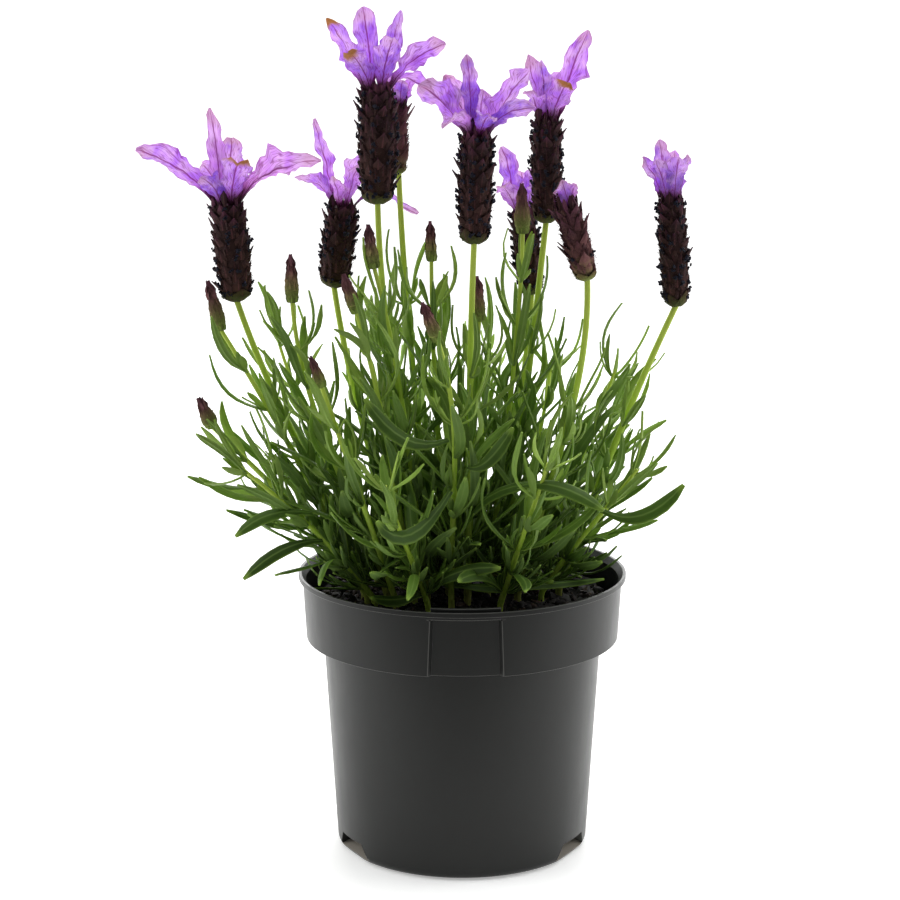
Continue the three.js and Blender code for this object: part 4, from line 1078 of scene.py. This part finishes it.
# the largest leaves on the near side: foot, bend and tip, and the width, by the shoot they grow on
nearLeaves = {
    "bud_shoot_07": [
        ((-6, -44, 186), (-24, -58, 181), (-39, -60, 206), 6.6),
        ((-5, -46, 165), (-22, -70, 141), (-34, -78, 160), 7),
        ((2, -45, 175), (9, -54, 174), (20, -54, 193), 6),
    ],
    "leafy_shoot_09": [((22, -50, 168), (38, -66, 176), (56, -72, 163), 6.2)],
    "leafy_shoot_02": [((58, -24, 152), (74, -36, 145), (91, -34, 165), 6.6)],
    "leafy_shoot_01": [
        ((-62, -34, 153), (-80, -48, 160), (-93, -46, 146), 5.6),
        ((-58, -32, 141), (-74, -48, 145), (-90, -46, 128), 5.6),
    ],
}


def layNearLeaf(bm, points, width, random):
    start, bend, tip = (Vector(point) for point in points)
    frames = []
    for i in range(bladeRows["leaf"] + 1):
        s = i / bladeRows["leaf"]
        middle, heading = curvePoint(start, bend, tip, s), curveHeading(start, bend, tip, s)
        across = heading.cross(front + up * 0.8).normalized()
        half = width / 2 * leafWidth(s)
        frames.append((middle, heading, across.cross(heading), half, half))
    layBlade(bm, "leaf", frames, leafLift, random(0.1, 0.4), random(0, 0.6), 1)


def makeShoot(index, shoot):
    random = makeRandom("shoot", index)
    bm = startPiece()
    layStalk(bm, shoot)
    for *points, width in nearLeaves.get(shoot["node"], []):
        layNearLeaf(bm, points, width, random)
    for spot in shoot["leaves"]:
        # a low leaf gets a low age, which paints it darker, partly as painted shade
        age = min(1, 0.15 + 0.75 * spot["height"] + random(-0.12, 0.12))
        if spot["detour"]:
            layLeaf(bm, "leaf", spot, spot["detour"], age, random)
        for _ in range(round(mix(*leafLook["axilLeaves"], spot["height"]))):
            way = (random(*leafLook["axilSwing"]), 0, 1)
            layLeaf(bm, "smallLeaf", axilSpot(spot, random), way, min(1, age + random(0, 0.3)), random)
    name = numbered(shoot["kind"] + "Shoot", shoot)
    finishPiece(name, bm, ["stalk", "leaf"], shoot["node"])


for i, shoot in enumerate(shoots):
    makeShoot(i, shoot)
print("shoots made")


# Heads: a core set with woolly calyces, whorls of pointed scales, withered florets and a green cup.
spikeLook = {
    "finish": "scale", "ages": (0.42, 0.75),
    "reach": 1.2,                 # how far the scales stand past the core
    # shares of the full radius at the foot, above its curve and at the top
    "roundFoot": 0.2, "radii": (0.3, 0.95, 0.88), "swell": 0.12,
    "first": 0.11, "whorlGap": 3.5, "around": 6, "scaleLength": 5.6, "scaleWidth": 5.8, "thickness": 0.4,
    "out": 1.1, "lying": (0.4, 0.75), "standing": (1.8, 3),
    "free": 0.24,                 # share of the scales whose tips stand away
    "calyxAround": 9, "calyxLength": 2.3, "calyxWidth": 0.8, "calyxLean": (1.8, 3),
    "floretShare": 0.95, "florets": 5, "floretSize": (0.45, 0.95), "clumps": 0.2,
    "cupScales": 5, "cupGap": 0.6, "cupHeight": (0.5, 0.85), "cupWidth": 0.85, "cupTurn": 0.4,
    "hairs": 1100, "hairLength": (0.4, 1.3), "hairWidth": 0.08,
}
# the half-opened heads have longer, barer scales
youngLook = {**spikeLook, "finish": "youngScale", "ages": (0.35, 0.75), "whorlGap": 3.6, "scaleLength": 6.4,
             "scaleWidth": 4.6, "out": 1.3, "free": 0.45, "calyxAround": 5, "floretShare": 0.15}
youngSpikes = (8, 4)
budLook = {"finish": "youngScale", "ages": (0.0, 0.75), "first": 0, "whorlGap": 2.9, "around": 5,
           "radii": (0.66, 1, 0.2), "widest": 0.25,
           "scaleLength": 7, "scaleWidth": 4.6, "thickness": 0.25, "reach": 0.1,
           "out": 0.25, "lying": (0.4, 0.75), "standing": (1.8, 3), "free": 0.08,
           "hairs": 160, "hairLength": (0.3, 0.7), "hairWidth": 0.07}
taper = {"scale": 1.1, "cup": 1.2}  # where a scale would come to a point, in its lengths


def spikeRadius(width):
    full = width / 2 - spikeLook["reach"]
    foot = spikeLook["roundFoot"]
    low, middle, high = spikeLook["radii"]

    def radiusAt(t):
        # a round foot, fullest in the middle and a little narrower at the top
        if t < foot:
            return full * mix(low, middle, math.sqrt(max(0, 1 - (1 - t / foot) ** 2)))
        swell = math.sin(math.pi * (t - foot) / (1 - foot))
        return full * (mix(middle, high, (t - foot) / (1 - foot)) + spikeLook["swell"] * swell)

    return radiusAt


def budRadius(width):
    full = width / 2 - budLook["reach"]
    low, middle, high = budLook["radii"]
    widest = budLook["widest"]

    def radiusAt(t):
        # an egg that is widest near its foot and drawn out above
        if t < widest:
            return full * mix(low, middle, t / widest)
        return full * mix(middle, high, ((t - widest) / (1 - widest)) ** 1.3)

    return radiusAt


def headFrame(shoot):
    foot, top = Vector(shoot["foot"]), Vector(shoot["top"])
    axis = (top - foot).normalized()
    side = stemFrame(axis, Vector((1, 0, 0)))
    return foot, axis, (top - foot).length, side


def outward(side, angle):
    # the way out from a head's axis
    return side[0] * math.cos(angle) + side[1] * math.sin(angle)


def pointed(heading):
    return heading.to_track_quat("Z", "Y").to_matrix().to_4x4()


def layCore(bm, shoot, radiusAt, ages):
    # the dark body inside the scales, closed at both ends
    foot, axis, length, side = headFrame(shoot)
    age = bm.verts.layers.float["age"]
    for vert in copyIn(bm, headRod, chance=0.1):
        x, y, t = vert.co
        vert[age] = mix(*ages, t)
        radius = radiusAt(t) * 0.96
        vert.co = (foot + axis * (0.3 + t * (length - 0.6)) + (side[0] * x + side[1] * y) * radius) * mm


def scaleLift(thickness):
    # scales hug the head: they bend back at both sides and have a low, crumpled keel
    def lift(x, s, half, side):
        keel = 0.2 * (1 - abs(x)) ** 2
        return keel - 0.3 * half * x * x + side * thickness * (1 - 0.6 * abs(x))
    return lift


def scaleWidth(s, taperEnd):
    # broad below and drawn out to a tip, the rounder the further past it the taper ends
    return mix(0.8, 1, smooth(0, 0.25, s)) * (1 - smooth(0.2, taperEnd, s)) + 0.02


def layScale(bm, base, axis, radial, length, width, out, drop, look, age, chance):
    # out is how far the scale's tip stands off the head, whose side draws in by drop over its length
    rows = bladeRows["scale"]
    around = axis.cross(radial)
    frames = []
    for i in range(rows + 1):
        s = i / rows
        swing = out * (0.75 * math.sin(s * math.pi * 0.5) + 0.35 * s ** 3)
        middle = base + axis * length * s + radial * (swing - drop * s)
        slope = (out * (0.75 * math.cos(s * math.pi * 0.5) * 1.57 + 1.05 * s * s) - drop) / length
        heading = (axis + radial * slope).normalized()
        half = width / 2 * scaleWidth(s, taper["scale"])
        frames.append((middle, heading, around.cross(heading), half, half))
    layBlade(bm, "scale", frames, scaleLift(look["thickness"]), age, chance, 0)


def layScales(bm, shoot, radiusAt, look, random):
    # whorls of scales, each whorl half a step on from the one below
    foot, axis, length, side = headFrame(shoot)
    whorls = round(length / look["whorlGap"])
    for whorl in range(whorls):
        for k in range(look["around"]):
            angle = (k + 0.5 * (whorl % 2) + random(-0.22, 0.22)) * math.tau / look["around"]
            radial = outward(side, angle)
            t = min(0.97, max(0, mix(look["first"], 1, (whorl + random(-0.2, 0.2)) / whorls)))
            size = random(0.8, 1.15)
            base = foot + axis * t * (length - 1.5) + radial * (radiusAt(t) - 0.2)
            room = min(look["scaleLength"] * size, length * (1 - t) + 2.2)
            stands = random(0, 1) < look["free"] * mix(0.3, 1.7, t)
            spread = look["out"] * random(*look["standing" if stands else "lying"])
            drop = radiusAt(t) - radiusAt(min(1, t + room / length))
            layScale(bm, base, axis, radial, room, look["scaleWidth"] * size, spread, drop, look,
                     mix(*look["ages"], t), random(0, 1))


def layCalyces(bm, shoot, radiusAt, look, crumbs, random):
    # woolly tubes that stand out between the scales, many with a withered floret at the mouth
    foot, axis, length, side = headFrame(shoot)
    whorls = round(length / look["whorlGap"])
    for whorl in range(whorls):
        for k in range(look["calyxAround"]):
            angle = (k + 0.5 + random(-0.3, 0.3)) * math.tau / look["calyxAround"]
            radial = outward(side, angle)
            t = min(0.95, max(0.05, (whorl + 0.5 + random(-0.2, 0.2)) / whorls))
            heading = (axis * random(*look["calyxLean"]) + radial).normalized()
            turn = pointed(heading)
            place = foot + axis * t * length + radial * (radiusAt(t) + look["reach"] * 0.1)
            wide = look["calyxWidth"] * random(0.8, 1.2)
            size = Vector((wide, wide, look["calyxLength"] * random(0.8, 1.2)))
            placeLump(bm, crumbs[(whorl + k) % len(crumbs)], place, turn, size, random(0, 0.7), 0,
                      random(0.5, 0.8))
            # florets wither in clumps, more of them low on the head
            clump = smooth(-0.15, 0.05, noise.noise(place * look["clumps"])) * (1.25 - 0.5 * t)
            for _ in range(look["florets"] if random(0, 1) < clump * look["floretShare"] else 0):
                mouth = place + heading * size.z * random(0.1, 1) + radial * random(0.3, 0.9)
                mouth += axis.cross(radial) * random(-1, 1)
                crumb = Vector((random(0.5, 1), random(0.5, 1), random(0.8, 1.6)))
                crumb *= random(*look["floretSize"])
                placeLump(bm, crumbs[k % len(crumbs)], mouth, turnedAnyway(random), crumb, random(0, 1), 1)


def layCup(bm, shoot, radiusAt, look, random):
    # broad green scales that hold the head's round foot and follow its curve
    foot, axis, length, side = headFrame(shoot)
    rows = bladeRows["scale"]
    for k in range(look["cupScales"]):
        angle = (k + random(-0.2, 0.2)) * math.tau / look["cupScales"] + look["cupTurn"]
        radial = outward(side, angle)
        high = look["roundFoot"] * random(*look["cupHeight"])
        places = [foot + axis * (t * length - 0.5) + radial * (radiusAt(t) + look["cupGap"])
                  for t in (high * i / rows for i in range(rows + 1))]
        frames = []
        for i, middle in enumerate(places):
            heading = (places[min(rows, i + 1)] - places[max(0, i - 1)]).normalized()
            half = radiusAt(1) * look["cupWidth"] * scaleWidth(i / rows, taper["cup"])
            frames.append((middle, heading, axis.cross(radial).cross(heading), half, half))
        layBlade(bm, "scale", frames, scaleLift(look["thickness"]), 0.1, random(0, 0.6), 0)


def hairShape():
    bm = startPiece()
    bmesh.ops.create_cone(bm, cap_ends=True, segments=3, radius1=1, radius2=0.1, depth=1)
    bmesh.ops.translate(bm, verts=bm.verts, vec=(0, 0, 0.5))
    return keepShape("hair", bm)


hair = hairShape()


def layHairs(bm, shoot, radiusAt, look, material, random):
    foot, axis, length, side = headFrame(shoot)
    for _ in range(look["hairs"]):
        t, angle = random(0.02, 1), random(0, math.tau)
        radial = outward(side, angle)
        place = foot + axis * t * length + radial * (radiusAt(t) + look["reach"] * random(0.1, 1))
        heading = radial + axis * random(0, 1.2) + axis.cross(radial) * random(-0.6, 0.6)
        turn = pointed(heading)
        size = Vector((look["hairWidth"], look["hairWidth"], random(*look["hairLength"])))
        placeLump(bm, hair, place, turn, size, random(0, 1), material)


def makeSpike(shoot):
    random = makeRandom("spike", shoot["number"])
    look = youngLook if shoot["number"] in youngSpikes else spikeLook
    radiusAt = spikeRadius(shoot["width"])
    bm = startPiece()
    layCore(bm, shoot, radiusAt, look["ages"])
    layScales(bm, shoot, radiusAt, look, random)
    layCalyces(bm, shoot, radiusAt, look, floretCrumbs, random)
    layCup(bm, shoot, radiusAt, look, random)
    layHairs(bm, shoot, radiusAt, look, 2, random)
    finishPiece(numbered("flowerSpike", shoot), bm, [look["finish"], "floret", "hair"],
                numbered("flower_spike_", shoot))


def makeBud(shoot):
    random = makeRandom("bud", shoot["number"])
    radiusAt = budRadius(shoot["width"])
    bm = startPiece()
    layCore(bm, shoot, radiusAt, budLook["ages"])
    layScales(bm, shoot, radiusAt, budLook, random)
    layHairs(bm, shoot, radiusAt, budLook, 1, random)
    finishPiece(numbered("bud", shoot), bm, [budLook["finish"], "hair"], numbered("bud_", shoot))


floretCrumbs = [crumbShape(makeRandom("crumb", i)) for i in range(3)]
for shoot in shoots:
    if shoot["kind"] == "flower":
        makeSpike(shoot)
    elif shoot["kind"] == "bud":
        makeBud(shoot)
print("heads and buds made")


# Bract tufts: thin wavy blades on dark claws, and a few short claws that close the head's top.
tuft = {"spread": 0.3, "rise": 0.34, "outward": 0.42, "facing": 0.5, "height": 4.5, "clearance": 0.3,
        "thickness": 0.3, "fullness": 1.24, "cupping": (0.0, 0.5), "ruffle": 0.3, "waves": (1.4, 2.4),
        "fineWaves": (5, 8), "fineRuffle": 0.12, "uneven": 0.55, "lobes": 9,
        "crumple": 1.6, "crease": 0.3, "twist": 40,
        "dryOnes": {(1, 5), (3, 5), (3, 4), (7, 5)},  # tuft and bract
        "claws": 11, "clawFoot": (1.5, 6), "clawLength": (6, 10), "clawWidth": (2.2, 3.2)}


def bractLine(shoot, bract):
    _, axis, _, _ = headFrame(shoot)
    top = Vector(shoot["top"])
    start = top + axis * (tuft["clearance"] + tuft["height"] / 2)
    tip = top + Vector(bract[:3])
    away = tip - start
    flat = away - axis * away.dot(axis)
    outShare = min(tuft["outward"], tuft["rise"] * away.length / flat.length)
    bulge = start + axis * tuft["rise"] * away.length + flat * outShare
    flat.normalize()
    start += flat * tuft["spread"] * shoot["width"] / 2
    return start, bulge, tip, flat, axis


def bractWidth(s, blunt):
    # a narrow claw, widest past the middle, then a pointed or a round end
    claw = mix(0.26, 1, smooth(0.04, 0.58, s))
    end = max(0.0, (s - 0.6) / 0.4)
    return claw * max(0.02, 1 - end ** blunt) ** 0.6


def layBract(bm, points, sideways, width, dry, random, blade="bract", material=0):
    rows = bladeRows[blade]
    start, bulge, tip = points
    length = (tip - start).length
    blunt = random(1.3, 4)
    cupping = random(*tuft["cupping"])
    phases = [random(0, math.tau) for _ in range(4)]
    edgeSeeds = [random(0, 50) for _ in range(2)]
    waves, fine = random(*tuft["waves"]), random(*tuft["fineWaves"])
    twist = math.radians(random(-tuft["twist"], tuft["twist"]))
    frames = []
    for i in range(rows + 1):
        s = i / rows
        middle, heading = curvePoint(start, bulge, tip, s), curveHeading(start, bulge, tip, s)
        across = (sideways - heading * sideways.dot(heading)).normalized()
        across.rotate(Quaternion(heading, twist * s))
        half = width / 2 * bractWidth(s, blunt)
        left, right = (half * (1 + tuft["uneven"] * noise.noise(Vector((s * tuft["lobes"], seed, 0))))
                       for seed in edgeSeeds)
        frames.append((middle, heading, heading.cross(across), left, right))

    def lift(x, s, half, side):
        hand = 0 if x < 0 else 2
        wave = tuft["ruffle"] * math.sin(math.tau * waves * s + phases[hand])
        ripple = tuft["fineRuffle"] * math.sin(math.tau * fine * s + phases[hand + 1])
        rolled = half * (wave * abs(x) ** 1.6 + ripple * abs(x) ** 3)
        crumple = tuft["crumple"] * noise.noise(Vector((x * half * 0.45, s * length * 0.22, edgeSeeds[0])))
        crease = -tuft["crease"] * (1 - abs(x)) ** 4
        folds = smooth(0.1, 0.4, s) * (rolled + crumple)
        return cupping * half * x * x + folds + crease + side * tuft["thickness"]

    layBlade(bm, blade, frames, lift, dry, random(0, 1), material)


def makeTuft(shoot):
    random = makeRandom("tuft", shoot["number"])
    bm = startPiece()
    for i, bract in enumerate(shoot["bracts"]):
        start, bulge, tip, flat, axis = bractLine(shoot, bract)
        around = axis.cross(flat)
        frontal = (tip - start).cross(front).normalized()
        if frontal.dot(around) < 0:
            frontal.negate()
        sideways = around.lerp(frontal, tuft["facing"])
        rooted = start - axis * (tuft["height"] / 2 + 1) + flat * 0.12 * shoot["width"]
        isDry = (shoot["number"], i) in tuft["dryOnes"]
        width = bract[3] * tuft["fullness"]
        layBract(bm, (rooted, bulge, tip), sideways, width, 1.0 if isDry else random(0, 0.3), random)
    _, axis, _, side = headFrame(shoot)
    top = Vector(shoot["top"])
    for k in range(tuft["claws"]):
        angle = (k + random(-0.3, 0.3)) * math.tau / tuft["claws"]
        radial = outward(side, angle)
        low = top - axis * random(*tuft["clawFoot"]) + radial * shoot["width"] * random(0.28, 0.38)
        high = low + axis * random(*tuft["clawLength"]) + radial * random(-1.5, 0.5)
        bend = low.lerp(high, 0.5) + radial * 0.5
        width = random(*tuft["clawWidth"])
        layBract(bm, (low, bend, high), axis.cross(radial), width, random(0.6, 0.9), random, "scale", 1)
    finishPiece(numbered("bractTuft", shoot), bm, ["bract", "scale"],
                numbered("bract_tuft_", shoot))


for shoot in shoots:
    if shoot["kind"] == "flower":
        makeTuft(shoot)
print("bract tufts made")
